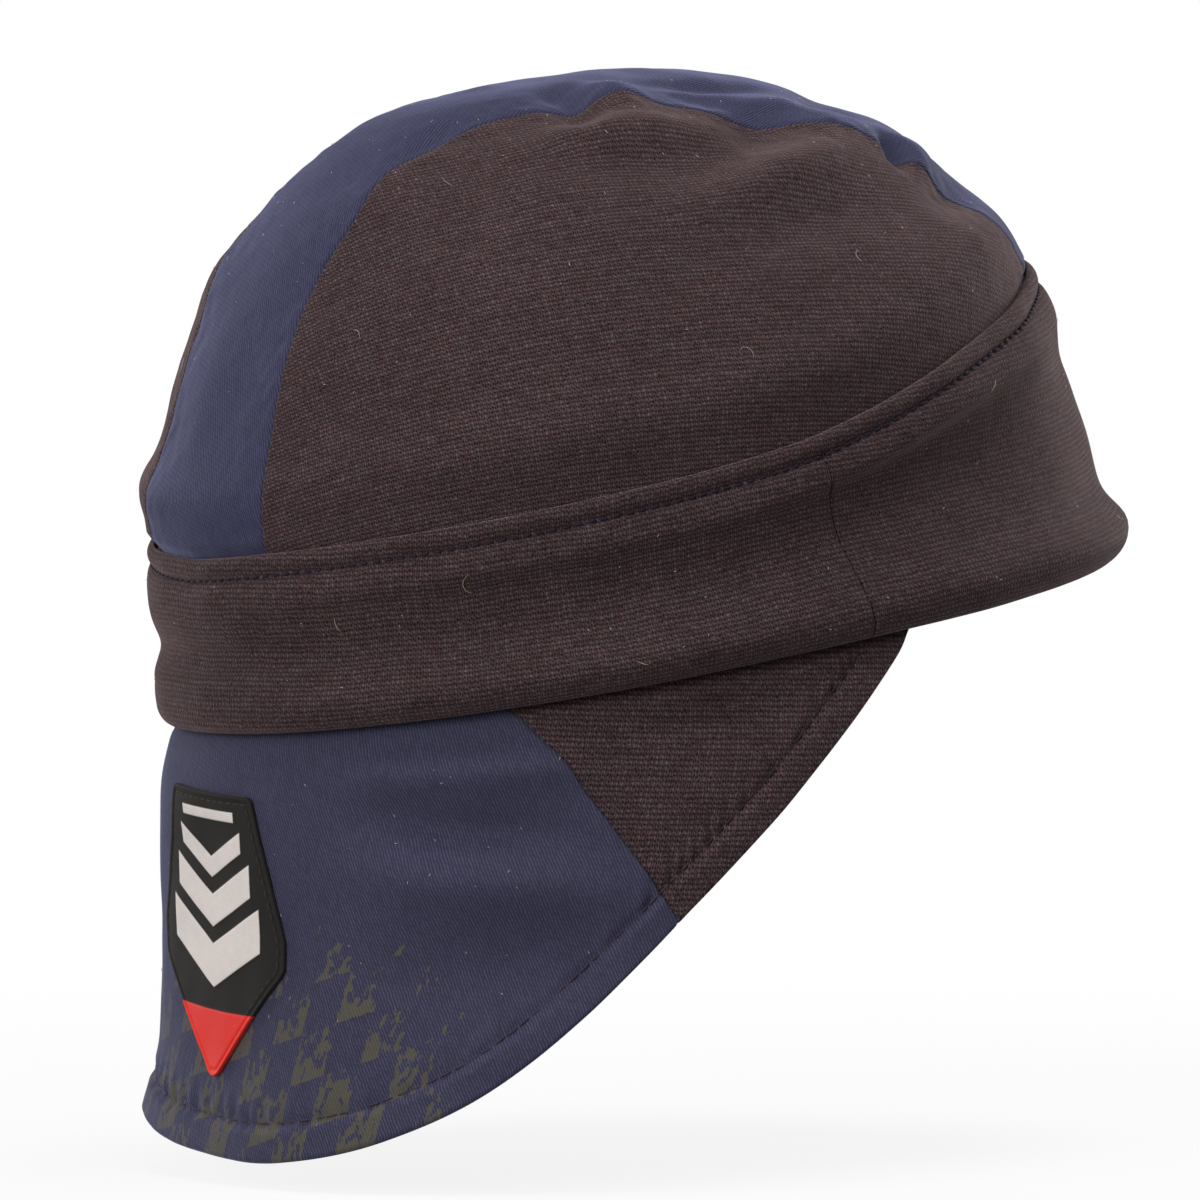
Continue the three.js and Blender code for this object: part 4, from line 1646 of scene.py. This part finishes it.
    def strip(self) -> ClothSolid:
        """The twill strip. Its flat places run across it and from the back to the front."""
        first, last = self.turns()
        turn = np.linspace(last + self.strip_margin, first - self.strip_margin, self.strip_columns)
        side = self.half_strip(turn)[:, None] * crowded(self.strip_rows, 1.5)
        angle, climb = FORM.on_ray(turn[:, None], side)
        outer, smooth = self.finished(angle, climb, self.seam_lines(), self.strip_edge)
        inner = smooth - FORM.normal(angle, climb) * self.cloth
        across = lengths_along(smooth)
        middle = self.strip_rows // 2
        across = across - across[:, middle : middle + 1]
        along = lengths_along(smooth[:, middle])[:, None] + np.zeros(across.shape)
        flat = np.stack([across, along], axis=-1) / MM
        return ClothSolid.shell("crown_strip_cloth", outer, inner, flat, 6)

    def seam_lines(self) -> Line:
        """Both seams as one line to measure from."""
        angle, climb = self.seam(1500)
        right = FORM.point(angle, climb)
        left = FORM.point(-angle, climb)
        return Line(np.concatenate([right, left[::-1]]))

    def side(self, side: Side) -> ClothSolid:
        """A knitted side panel. Its flat places run forward and up, as seen from that side.

        Args:
            side: The wearer's side.

        Returns:
            The closed shell.
        """
        seam_angle, seam_climb = self.seam(self.side_columns)
        share = np.linspace(0, 1, self.side_columns)
        low_angle = mix(seam_angle[0], seam_angle[-1], share)
        low_climb = FORM.climb_at(BAND.top(low_angle) - BAND.tuck - self.hidden)
        down = np.linspace(0, 1, self.side_rows) ** 1.6
        angle = mix(seam_angle[:, None], low_angle[:, None], down)
        climb = mix(seam_climb[:, None], low_climb[:, None], down)
        if side is Side.LEFT:
            angle = 360 - angle
        outer, smooth = self.finished(angle, climb, self.seam_lines(), self.side_edge)
        inner = smooth - FORM.normal(angle, climb) * self.cloth
        flat = self.spread(FORM.point(angle, climb), side)
        return ClothSolid.shell(f"crown_side_{side.name.lower()}_cloth", outer, inner, flat, 7)

    def spread(self, points: Grid, side: Side) -> Grid:
        """Lays a side panel flat by the distances from its middle, in millimetres.

        Args:
            points: Points in metres.
            side: The wearer's side.

        Returns:
            The places on the flat cloth.
        """
        hub = np.array([0.0, 0.004, 0.02])
        way = unit(points - hub)
        out = unit(np.array([side.value, 0.0, 0.35]))
        ahead = np.array([0.0, float(side.value), 0.0])
        up = np.cross(out, ahead)
        away = np.arccos(np.clip(way @ out, -1, 1))
        x, y = way @ ahead, way @ up
        scale = away * self.spread_radius / np.maximum(np.hypot(x, y), TINY)
        return np.stack([x * scale, y * scale], axis=-1)

    def build(self) -> list[Piece]:
        """Makes the crown's three panels."""
        cloth = self.strip()
        strip = fasten(cloth.build([NAVY]), Slot.NAVY_TWILL, "crown_centre_strip")
        cloth.declare(strip, Hold.STRETCHED, ["crown_side_right", "crown_side_left"])
        made = [strip]
        for side in Side:
            cloth = self.side(side)
            panel = fasten(cloth.build([CROWN_KNIT]), Slot.BROWN_KNIT, f"crown_side_{side.name.lower()}")
            cloth.declare(panel, Hold.STRETCHED, ["crown_centre_strip"])
            made.append(panel)
        return made


CROWN = Crown()


@dataclass(frozen=True)
class NeckFlap:
    """The neck flap: a printed centre panel and a knitted gore on each side, with one curved hem."""

    drop: float = 85 * MM
    end: float = 79.0
    flare: float = 5 * MM
    fold_start: float = 0.3
    cloth: float = 1.3 * MM
    tuck: float = 9 * MM
    sink: float = 1.5 * MM
    sink_reach: float = 2.4 * MM
    hem_width: float = 7 * MM
    hem_cloth: float = 2 * MM
    hem_least: float = 0.25
    hem_turn: float = 1.5 * MM
    hem_from: float = 6 * MM
    hem_full: float = 16 * MM
    stitch_pitch: float = 3.2 * MM
    groove_width: float = 1.1 * MM
    groove_depth: float = 0.75 * MM
    swell: float = 0.55 * MM
    pucker: float = 0.34 * MM
    pucker_pitch: float = 5.3 * MM
    seam_edge: float = 0.7 * MM
    ripple_start: float = 8 * MM
    gore_grain: float = -11.0
    seam_curve: float = 0.86
    stitch_start: float = 3.5
    stitch_sink: float = 0.5 * MM
    gore_top_back: float = 73 * MM
    gore_low_back: float = 38 * MM
    gore_low_drop: float = 52 * MM
    halvings: int = 34
    laying_rounds: int = 24
    centre_columns: int = 330
    gore_columns: int = 130
    upper_rows: int = 80
    hem_rows: int = 20
    hem_drops: Table = Table(
        ("round", "drop"),
        (
            (-1.0, 0.005),
            (-0.91, 0.165),
            (-0.84, 0.3),
            (-0.71, 0.525),
            (-0.59, 0.73),
            (-0.47, 0.88),
            (-0.34, 0.965),
            (-0.18, 1.0),
            (0.0, 0.985),
            (0.14, 0.965),
            (0.26, 0.935),
            (0.38, 0.915),
            (0.49, 0.86),
            (0.59, 0.73),
            (0.71, 0.525),
            (0.84, 0.3),
            (0.91, 0.165),
            (1.0, 0.005),
        ),
    )
    flares: Table = Table(
        ("drop", "out"),
        ((0.0, 0.0), (0.12, 0.4), (0.6, 0.6), (0.85, 0.75), (1.0, 0.9)),
    )
    folds: Folds = Folds(
        3 * MM,
        (
            (180, 0.6, 18, 0.55, -1.5),
            (206, 0.98, 14, 0.12, 0.8),
            (150, 0.9, 12, 0.4, 0.4),
            (128, 0.55, 9, 0.3, -0.5),
            (112, 0.35, 9, 0.3, 0.5),
            (232, 0.5, 10, 0.3, -0.5),
            (250, 0.3, 9, 0.3, 0.4),
        ),
    )
    creases: Creases = Creases(
        (
            (156, 0.1, 114, 0.17, 4.5, 3.2),
            (152, 0.21, 120, 0.33, 4.5, -3.0),
            (154, 0.32, 112, 0.49, 6, 3.4),
            (152, 0.55, 114, 0.62, 7, -2.8),
            (116, 0.04, 92, 0.11, 5, -3.4),
            (124, 0.74, 140, 0.86, 5, 1.2),
            (212, 0.14, 246, 0.17, 5, 1.4),
            (208, 0.36, 244, 0.42, 6, 1.3),
            (214, 0.56, 240, 0.56, 6, -0.9),
            (246, 0.06, 258, 0.12, 5, -1.2),
        )
    )
    ripples: Ripples = Ripples(31, 0.4 * MM, 8 * MM, 40 * MM)

    def hem(self, angle: Grid) -> Grid:
        """The hem's drop below the rim."""
        return self.drop * self.hem_drops.read("drop", (angle - 180) / (180 - self.end))

    def hem_rise(self, angle: Grid) -> Grid:
        """The hem's height up a column, longer where the edge runs steeply."""
        zero = np.zeros(np.shape(angle))
        step = np.linalg.norm(FORM.point(angle + 1, zero) - FORM.point(angle - 1, zero), axis=-1)
        slope = (self.hem(angle + 1) - self.hem(angle - 1)) / step
        return self.hem_width * np.hypot(1, slope)

    def point(self, angle: Grid, drop: Grid, lift: Grid) -> Grid:
        """A point of the flap's sheet. A drop below nothing is behind the band.

        Args:
            angle: Degrees round the cap.
            drop: Drops below the rim.
            lift: How far the points stand off the sheet.

        Returns:
            The points.
        """
        angle, drop, lift = np.broadcast_arrays(angle, drop, lift)
        share = np.maximum(drop, 0) / self.drop
        fold = self.folds.lift(angle, share) * smoothstep(share, 0, self.fold_start)
        crease = self.creases.lift(self.place(angle, share), self.place) * smoothstep(share, 0, 0.1)
        lift = lift - self.sink * np.exp(-((drop / self.sink_reach) ** 2))
        out = self.flare * self.flares.read("out", share) + fold + crease + lift
        hung = FORM.point(angle, np.zeros(angle.shape)) + FORM.level_normal(angle) * out[..., None]
        hung = hung - np.array([0.0, 0.0, 1.0]) * drop[..., None]
        hidden = FORM.at_height(angle, np.maximum(-drop, 0), lift)
        return np.where((drop > 0)[..., None], hung, hidden)

    def place(self, angle: Grid, share: Grid) -> Grid:
        """The place straight under the rim at an angle and a share of the flap's drop."""
        down = np.array([0.0, 0.0, -self.drop]) * np.asarray(share)[..., None]
        return FORM.point(angle, np.zeros(angle.shape)) + down

    def surface(self, angle: Grid, share: Grid) -> Grid:
        """The flap's outer place at an angle and a share of its drop."""
        smooth = self.point(angle, share * self.drop, 0.0)
        return self.point(angle, share * self.drop, self.ripples.lift(smooth))

    @cached_property
    def gore_seam(self) -> tuple[Grid, Grid]:
        """Evenly spaced drops, and the right gore seam's angle at each."""
        drop = np.linspace(-self.tuck, self.drop, 400)
        slope = (self.gore_top_back - self.gore_low_back) / self.gore_low_drop
        low, high = np.full(drop.shape, self.end), np.full(drop.shape, 180.0)
        for _ in range(self.halvings):
            middle = (low + high) / 2
            point = self.point(middle, drop, 0.0)
            behind = point[:, 1] > self.gore_top_back + slope * point[:, 2]
            low, high = np.where(behind, low, middle), np.where(behind, middle, high)
        return drop, low

    def gore_angle(self, drop: Grid) -> Grid:
        """The angle of the right gore seam at a drop."""
        return np.interp(drop, *self.gore_seam)

    def laid(self, share: Grid, rows: Grid, is_gore: bool) -> tuple[Grid, Grid]:
        """Lays a panel's grid between its seams, the tuck and the hem.

        Args:
            share: Places across the panel.
            rows: Places down it, in which 1 is the hem's fold line and 2 its edge.
            is_gore: Whether it is the right gore, and not the centre panel.

        Returns:
            The angles and drops.
        """
        drop = np.zeros((len(share), len(rows)))
        angle = drop
        for _ in range(self.laying_rounds):
            seam = self.gore_angle(drop)
            if is_gore:
                angle = mix(seam, self.end, share[:, None])
            else:
                angle = 180 + (180 - seam) * share[:, None]
            edge = self.hem(angle)
            fold = np.maximum(edge - self.hem_rise(angle), edge * self.hem_least)
            upper = mix(-self.tuck, fold, np.minimum(rows, 1))
            drop = mix(upper, edge, np.maximum(rows - 1, 0))
        return angle, drop

    def panel(self, name: str, share: Grid, side: Side | None) -> ClothSolid:
        """Makes one panel of the flap.

        Args:
            name: The panel's name.
            share: Places across it.
            side: The gore's side, or None for the centre panel.

        Returns:
            The closed shell.
        """
        rows = np.concatenate(
            [np.linspace(0, 1, self.upper_rows), 1 + np.linspace(0, 1, self.hem_rows + 1)[1:]]
        )
        angle, drop = self.laid(share, rows, side is not None)
        if side is Side.LEFT:
            angle = 360 - angle
        smooth = self.point(angle, drop, np.zeros(angle.shape))
        ripple = self.ripples.lift(smooth) * smoothstep(drop, 0, self.ripple_start)
        outer = self.point(angle, drop, self.detail(angle, drop, ripple))
        in_hem = np.maximum(rows - 1, 0) * self.hem_width
        thick = mix(self.cloth, self.hem_cloth, smoothstep(in_hem, 0, self.hem_turn))
        inner = self.point(angle, drop, ripple - thick)
        brim = self._round_edge(outer[:, -1], inner[:, -1])
        outer = outer[:, :-1]
        back = inner[:, ::-4][:, 1:]
        rings = np.concatenate([outer, brim, back], axis=1)
        across = FORM.arc(180.0) - FORM.arc(angle)
        flat = np.stack([across, self.drop - drop], axis=-1) / MM
        edge_flat = np.repeat(flat[:, -1:], brim.shape[1], axis=1)
        flats = np.concatenate([flat[:, :-1], edge_flat, flat[:, ::-4][:, 1:]], axis=1)
        if side is not None:
            flats = self._turned(flats, self.gore_grain)
        return ClothSolid(name, rings, flats, outer.shape[1] + brim.shape[1] - 1, side is None)

    def detail(self, angle: Grid, drop: Grid, ripple: Grid) -> Grid:
        """The small relief: the stitched groove over the hem, the hem's swell, puckers and seam edges.

        Args:
            angle: Degrees round the cap.
            drop: Drops below the rim.
            ripple: The ripples, to which the rest is added.

        Returns:
            How far the cloth stands out, in metres.
        """
        edge = self.hem(angle)
        steep = self.hem_rise(angle) / self.hem_width
        from_line = np.maximum(edge - drop, 0) / steep - self.hem_width
        groove = self.groove_depth * np.exp(-((from_line / self.groove_width) ** 2))
        swell = self.swell * smoothstep(-from_line, 0.6 * MM, 2.4 * MM)
        fade = smoothstep(edge, self.hem_from, self.hem_full)
        run = 2 * math.pi * FORM.arc(angle) * steep
        beat = 0.7 + 0.3 * np.cos(run / self.stitch_pitch)
        pucker = self.pucker * np.exp(-(((from_line - 1.5 * MM) / (3 * MM)) ** 2))
        relief = ripple + (swell - groove * beat) * fade
        relief = relief + pucker * np.sin(run / self.pucker_pitch) * fade
        return relief + rounded(self.seam_distance(angle, drop), self.seam_edge)

    @staticmethod
    def _turned(flat: Grid, degrees: float) -> Grid:
        """Turns the places on the cloth."""
        turn = math.radians(degrees)
        x, y = flat[..., 0], flat[..., 1]
        return np.stack(
            [x * math.cos(turn) + y * math.sin(turn), y * math.cos(turn) - x * math.sin(turn)], axis=-1
        )

    @staticmethod
    def _round_edge(outside: Grid, inside: Grid) -> Grid:
        """A half round from the outside to the inside along the hem's lowest edge."""
        middle, half = (outside + inside) / 2, (outside - inside) / 2
        radius = np.linalg.norm(half, axis=-1, keepdims=True)
        made = []
        for turn in np.linspace(0, math.pi, 7):
            below = np.array([0.0, 0.0, -1.0]) * radius * math.sin(turn) * 0.8
            made.append(middle + half * math.cos(turn) + below)
        return np.stack(made, axis=1)

    def seam_distance(self, angle: Grid, drop: Grid) -> Grid:
        """The rough distance of places on the flap from the nearer gore seam."""
        apart = np.abs(from_front(angle) - self.gore_angle(drop))
        return np.radians(apart) * FORM.half_width * self.seam_curve

    def stitches(self) -> list[Piece]:
        """The hem's stitches, in one row for the centre and one for each gore."""
        made = []
        seam = float(self.gore_angle(np.array(self.gore_low_drop)))
        first = self.end + self.stitch_start
        runs = (
            ("hem_stitches", seam, 360 - seam, HEM_THREAD, Slot.PRINTED_TWILL),
            ("gore_stitches_right", first, seam, GORE_THREAD, Slot.BROWN_KNIT),
            ("gore_stitches_left", 360 - seam, 360 - first, GORE_THREAD, Slot.BROWN_KNIT),
        )
        for name, start, end, finish, slot in runs:
            angle = np.linspace(start, end, 900)
            drop = self.hem(angle) - self.hem_rise(angle)
            drop = np.maximum(drop, self.hem(angle) * self.hem_least)
            lift = self.ripples.lift(self.point(angle, drop, np.zeros(angle.shape)))
            lift = lift * smoothstep(drop, 0, self.ripple_start) - self.stitch_sink
            row = StitchRow(name, finish, self.stitch_pitch, 0.86, radius=0.18 * MM, proud=0.16 * MM)
            made.append(row.build(self.point(angle, drop, lift), FORM.level_normal(angle), slot))
        return made

    def build(self) -> list[Piece]:
        """Makes the flap's three panels and their stitches."""
        centre = self.panel("flap_centre_cloth", crowded(self.centre_columns, 1.25), None)
        piece = fasten(centre.build([NAVY_PRINTED, NAVY_INSIDE]), Slot.PRINTED_TWILL, "neck_flap_centre")
        centre.declare(piece, Hold.HUNG, ["band_back"])
        made = [piece]
        share = np.linspace(0, 1, self.gore_columns) ** 1.15
        for side in Side:
            name = side.name.lower()
            gore = self.panel(f"flap_gore_{name}_cloth", share, side)
            piece = fasten(gore.build([CROWN_KNIT]), Slot.BROWN_KNIT, f"flap_gore_{name}")
            gore.declare(piece, Hold.HUNG, ["band_back", "band_front"])
            made.append(piece)
        return made + self.stitches()


FLAP = NeckFlap()


@dataclass(frozen=True)
class Chevrons:
    """The patch's plain design: a pale bar, chevrons that point down, and a red point below them.

    Sizes are in millimetres across and down the patch. The bar and each chevron have their upper and
    lower place on the middle line, and their half width.
    """

    pale: Rows = (
        (13.0, 17.2, 11.4),
        (20.6, 27.2, 14.0),
        (30.6, 39.4, 16.4),
    )
    slope: float = 0.5
    red_from: float = 44.0
    soft_ink: float = 0.16
    soft_relief: float = 0.3
    bar: tuple[float, float, float] = (3.4, 5.4, 9.6)

    def masks(self, net: Wiring, x: Socket, y: Socket) -> tuple[Socket, Socket]:
        """The shares of pale and red ink at a place, as shader values.

        Args:
            net: The material's tree.
            x: Places across the patch.
            y: Places down it.

        Returns:
            The share of pale ink, and that of red.
        """
        off = net.math("ABSOLUTE", x)
        level = net.line(off, self.slope, y)
        soft = self.soft_ink
        pale = 0.0
        for top, low, half, place in [(*row, level) for row in self.pale] + [(*self.bar, y)]:
            beside = net.math("SUBTRACT", 1.0, net.ramp(off, half - soft, half + soft))
            inside = net.times(net.within(place, top, low, soft), beside)
            pale = net.math("MAXIMUM", pale, inside)
        return pale, net.ramp(y, self.red_from - soft, self.red_from + soft)

    def relief(self, x: Grid, y: Grid) -> Grid:
        """The share of raised ink at a place, for the mesh.

        Args:
            x: Places across the patch.
            y: Places down it.

        Returns:
            The shares.
        """
        off = np.abs(x)
        level = y + off * self.slope
        soft = self.soft_relief
        total = smoothstep(y, self.red_from - soft, self.red_from + soft)
        for top, low, half, place in [(*row, level) for row in self.pale] + [(*self.bar, y)]:
            begun = smoothstep(place, top - soft, top + soft)
            ended = smoothstep(place, low - soft, low + soft)
            inside = begun * (1 - ended) * (1 - smoothstep(off, half - soft, half + soft))
            total = np.maximum(total, inside)
        return total


@dataclass(frozen=True)
class Patch:
    """The patch on the back of the flap, as a thin plate with raised ink and a sewn edge."""

    half: float = 23 * MM
    length: float = 57.4 * MM
    drop: float = 11.7 * MM
    aside: float = 2.0 * MM
    skew: float = 0.07
    cloth: float = 0.95 * MM
    gap: float = 0.25 * MM
    edge: float = 0.3 * MM
    ink: float = 0.2 * MM
    sewn_in: float = 1.3 * MM
    sewn_width: float = 0.4 * MM
    sewn_depth: float = 0.3 * MM
    stitch_in: float = 1.6 * MM
    stitch_sink: float = 0.15 * MM
    columns: int = 220
    rows: int = 120
    design: Chevrons = Chevrons()
    outline: Rows = (
        (0.0, 0.6),
        (0.012, 0.65),
        (0.48, 0.985),
        (0.505, 1.0),
        (0.6, 1.0),
        (0.625, 0.96),
        (0.96, 0.15),
        (0.985, 0.09),
        (1.0, 0.02),
    )

    def width(self, share: Grid) -> Grid:
        """Half the patch's width at a share of the way down it."""
        down, half = np.array(self.outline).T
        return self.half * np.interp(share, down, half)

    def point(self, across: Grid, down: Grid, lift: Grid) -> Grid:
        """A point over the flap by its place on the patch, in metres."""
        angle = 180 - np.degrees((across + self.aside) / FORM.half_width)
        drop = self.drop + down + self.skew * across
        smooth = FLAP.point(angle, drop, np.zeros(angle.shape))
        return FLAP.point(angle, drop, lift + FLAP.ripples.lift(smooth))

    def plate(self) -> ClothSolid:
        """The plate. Its flat places run across and down it."""
        down = np.linspace(0, 1, self.columns)[:, None]
        half = self.width(down)
        share = crowded(self.rows, 1.3)
        across = half * share
        x, y = across / MM, down * self.length / MM + np.zeros(across.shape)
        edge = np.minimum(half * (1 - np.abs(share)), np.minimum(down, 1 - down) * self.length)
        sewn = self.sewn_depth * np.exp(-(((edge - self.sewn_in) / self.sewn_width) ** 2))
        rise = self.cloth + self.ink * self.design.relief(x, y) + rounded(edge, self.edge) - sewn
        outer = self.point(across, y * MM, self.gap + rise)
        inner = self.point(across, y * MM, self.gap + np.zeros(across.shape))
        return ClothSolid.shell("patch_plate", outer, inner, np.stack([x, y], axis=-1), 10)

    def stitches(self) -> Piece:
        """The row of stitches just inside the patch's edge."""
        inset = self.stitch_in
        down = np.linspace(inset, self.length - 2.2 * inset, 200)
        wide = self.width(down / self.length)
        half = np.maximum(wide - inset * np.hypot(1, np.gradient(wide, down)), 0.2 * MM)
        top = np.linspace(-half[0], half[0], 60)
        across = np.concatenate([top, half, -half[::-1]])
        along = np.concatenate([np.full(60, down[0]), down, down[::-1]])
        lift = self.gap + self.cloth - self.stitch_sink
        points = self.point(across, along, np.full(across.shape, lift))
        normals = FORM.level_normal(180 - np.degrees(across / FORM.half_width))
        row = StitchRow("patch_stitches", PATCH_THREAD, pitch=2.4 * MM, share=0.7, radius=0.15 * MM)
        return row.build(points, normals, Slot.PATCH)

    def build(self) -> list[Piece]:
        """Makes the patch and its stitches."""
        finish = PatchFinish("patch face", self.design)
        return [fasten(self.plate().build([finish]), Slot.PATCH, "patch"), self.stitches()]


@dataclass(frozen=True)
class Lint:
    """Stray hairs and specks of dust on the cloth.

    A hair's row has the angle and share of its start, its heading and its whole turn in degrees, and
    its length in millimetres.
    """

    seed: int = 17
    radius: float = 0.07 * MM
    steps: int = 14
    crown_hairs: Rows = (
        (136, 0.66, -60, 40, 5.0),
        (96, 0.34, 30, 200, 5.0),
        (150, 0.44, 80, 120, 3.5),
        (72, 0.44, 150, 160, 4.0),
        (262, 0.5, 20, 150, 5.0),
        (200, 0.4, 70, 90, 4.0),
    )
    strip_hairs: Rows = ((27, 0.655, 100, 280, 7.0),)
    band_hairs: Rows = (
        (115, 0.16, -50, 30, 2.6),
        (152, 0.62, -110, 60, 4.0),
        (133, 0.74, 200, 140, 6.0),
        (60, 0.8, 20, 40, 2.4),
        (250, 0.4, 40, 200, 5.0),
    )
    flap_hairs: Rows = (
        (104, 0.07, -80, 150, 6.0),
        (131, 0.33, 10, 80, 3.0),
        (150, 0.3, 100, 120, 3.5),
    )
    crown_tall: float = 150 * MM
    band_tall: float = 42 * MM
    proud: float = 0.15 * MM
    bow: float = 0.87
    blunt: float = 0.25

    def paths(self, rows: Grid, place: Callable[[Grid, Grid], Grid], tall: float) -> tuple[Grid, Grid]:
        """Lays hairs on the cloth.

        Args:
            rows: The hairs, one a row.
            place: Gives the cloth's outer place for an angle and a share.
            tall: The length in metres of one whole share.

        Returns:
            The hairs' middle lines, and a direction off the cloth at each step.
        """
        part = np.linspace(0, 1, self.steps)
        angle, share, heading, turn, length = (column[:, None] for column in np.array(rows).T)
        way = np.radians(heading + turn * part)
        step = length * MM / self.steps
        right = np.cumsum(np.cos(way) * step, axis=1)
        above = np.cumsum(np.sin(way) * step, axis=1)
        at, up = angle - np.degrees(right / FORM.half_width) * self.bow, share + above / tall
        points = place(at, up)
        out = np.cross(place(at, up + 1e-3) - points, place(at + 0.05, up) - points)
        out = unit(out * math.copysign(1, tall))
        return points + out * self.proud, out

    def dust(self, low: float, high: float, first: float, last: float, count: int) -> Grid:
        """Rows of specks strewn over a range of angles and shares.

        Args:
            low: The lowest angle.
            high: The highest angle.
            first: The lowest share.
            last: The highest share.
            count: How many specks.

        Returns:
            The rows, in the columns of a hair's row.
        """
        draw = np.random.default_rng(self.seed + count)
        wide = draw.uniform(low, high, count)
        tall = draw.uniform(first, last, count)
        length = draw.uniform(0.25, 0.9, count)
        turns = draw.uniform(0, 360, count)
        return np.stack([wide, tall, turns, draw.uniform(-60, 60, count), length], axis=1)

    def build(self) -> list[Piece]:
        """Makes the hairs and specks of each cloth."""
        crown = (CROWN.surface, self.crown_tall)
        band = (BAND.surface, self.band_tall)
        flap = (FLAP.surface, -FLAP.drop)
        sets = (
            ("crown_lint", self.crown_hairs, crown, PALE_LINT, Slot.BROWN_KNIT),
            ("strip_lint", self.strip_hairs, crown, PALE_LINT, Slot.NAVY_TWILL),
            ("band_lint", self.band_hairs, band, WARM_LINT, Slot.BAND_KNIT),
            ("flap_lint", self.flap_hairs, flap, PURPLE_LINT, Slot.BROWN_KNIT),
            ("crown_dust", self.dust(30, 330, 0.34, 0.8, 150), crown, DUST, Slot.BROWN_KNIT),
            ("band_dust", self.dust(0, 360, 0.1, 0.85, 70), band, DUST, Slot.BAND_KNIT),
            ("flap_dust", self.dust(120, 240, 0.1, 0.7, 60), flap, DUST, Slot.PRINTED_TWILL),
        )
        taper = np.sin(np.linspace(self.blunt, math.pi - self.blunt, self.steps))
        made = []
        for name, rows, (surface, tall), finish, slot in sets:
            middle, out = self.paths(rows, surface, tall)
            thick = self.radius * taper + np.zeros(middle.shape[:2])
            made.append(Tubes(name, finish, 5).build(middle, out, thick, slot))
        return made


@dataclass(frozen=True)
class Studio:
    """The camera, the pale floor and the soft lights.

    A softbox's row has its name, its place to the right, up and towards the camera from the cap, and
    its size, all in metres, and its power in watts.
    """

    azimuth: float = 240.0
    elevation: float = 2.0
    distance: float = 2600 * MM
    lens: float = 380.0
    aim_right: float = -8.83 * MM
    aim_up: float = 6.49 * MM
    floor_gap: float = 6 * MM
    floor_reach: float = 3.0
    ambient: float = 0.2
    softboxes: tuple[tuple[str, float, float, float, float, float], ...] = (
        ("overhead softbox", 0.25, 1.8, 0.45, 1.0, 18.0),
        ("left softbox", -1.5, 0.3, -1.3, 1.2, 13.0),
        ("right softbox", 1.4, 0.5, -1.4, 1.2, 22.0),
        ("fill softbox", -1.0, 0.5, 1.8, 1.0, 22.0),
    )

    def axes(self) -> tuple[Vector, Vector, Vector]:
        """The camera's right, up and backward directions."""
        turn, tip = math.radians(self.azimuth), math.radians(self.elevation)
        back = Vector((math.sin(turn) * math.cos(tip), -math.cos(turn) * math.cos(tip), math.sin(tip)))
        right = Vector((math.cos(turn), math.sin(turn), 0.0))
        return right, back.cross(right), back

    def camera(self) -> Piece:
        """Makes the camera at the photograph's angle."""
        right, up, back = self.axes()
        data = bpy.data.cameras.new("camera")
        data.lens = self.lens
        data.sensor_width = 36.0
        data.clip_end = 50.0
        made = added("camera", data)
        aim = right * self.aim_right + up * self.aim_up
        turned = Matrix((right, up, back)).transposed().to_4x4()
        made.matrix_world = Matrix.Translation(aim + back * self.distance) @ turned
        bpy.context.scene.camera = made
        return made

    def floor(self, lowest: float) -> Piece:
        """Makes the floor a little below the cap.

        Args:
            lowest: The height of the cap's lowest point.

        Returns:
            The new floor.
        """
        mesh = bpy.data.meshes.new("floor")
        reach = self.floor_reach
        level = lowest - self.floor_gap
        corners = [(x * reach, y * reach, level) for x, y in ((-1, -1), (1, -1), (1, 1), (-1, 1))]
        mesh.from_pydata(corners, [], [(0, 1, 2, 3)])
        mesh.materials.append(FloorFinish("pale floor").material())
        made = added("floor", mesh)
        return made

    def light(self, name: str, place: Vector, size: float, power: float) -> Piece:
        """Makes a square soft light that faces the cap.

        Args:
            name: Its name.
            place: Its middle.
            size: The length of its sides.
            power: Its power in watts.

        Returns:
            The new light.
        """
        data = bpy.data.lights.new(name, "AREA")
        data.size = size
        data.energy = power
        made = added(name, data)
        made.location = place
        made.rotation_euler = place.to_track_quat("Z", "Y").to_euler()
        return made

    def world(self, strength: float) -> None:
        """Makes a bright background that lights the cap more softly than it shows."""
        world = bpy.data.worlds.new("studio")
        world.use_nodes = True
        bpy.context.scene.world = world
        net = Wiring(world.node_tree)
        world.node_tree.nodes.clear()
        seen = net.node("Background", {"Color": (1, 1, 1, 1), "Strength": 1.0})
        lit = net.node("Background", {"Color": (1, 1, 1, 1), "Strength": strength})
        both = net.node("MixShader", {0: net.node("LightPath", {}).outputs["Is Camera Ray"]})
        net.put(both.inputs[1], lit.outputs[0])
        net.put(both.inputs[2], seen.outputs[0])
        net.node("OutputWorld", {"Surface": both.outputs[0]})

    def build(self, lowest: float) -> None:
        """Makes the camera, the floor and the lights."""
        self.camera()
        self.floor(lowest)
        right, up, back = self.axes()
        for name, aside, high, near, size, power in self.softboxes:
            self.light(name, right * aside + up * high + back * near, size, power)
        self.world(self.ambient)
        bpy.context.scene.view_settings.view_transform = "Standard"


def main() -> None:
    """Builds the studio and the cap's sub-assemblies in order."""
    logging.basicConfig(level=logging.INFO, format="%(name)s: %(message)s")
    Studio().build(CAD_BOX[0][2])
    for part in (CROWN, BAND, FLAP, Patch(), Lint()):
        for piece in part.build():
            LOG.info("%s: %s with %d faces", type(part).__name__, piece.name, len(piece.data.polygons))


if __name__ == "__main__":
    main()
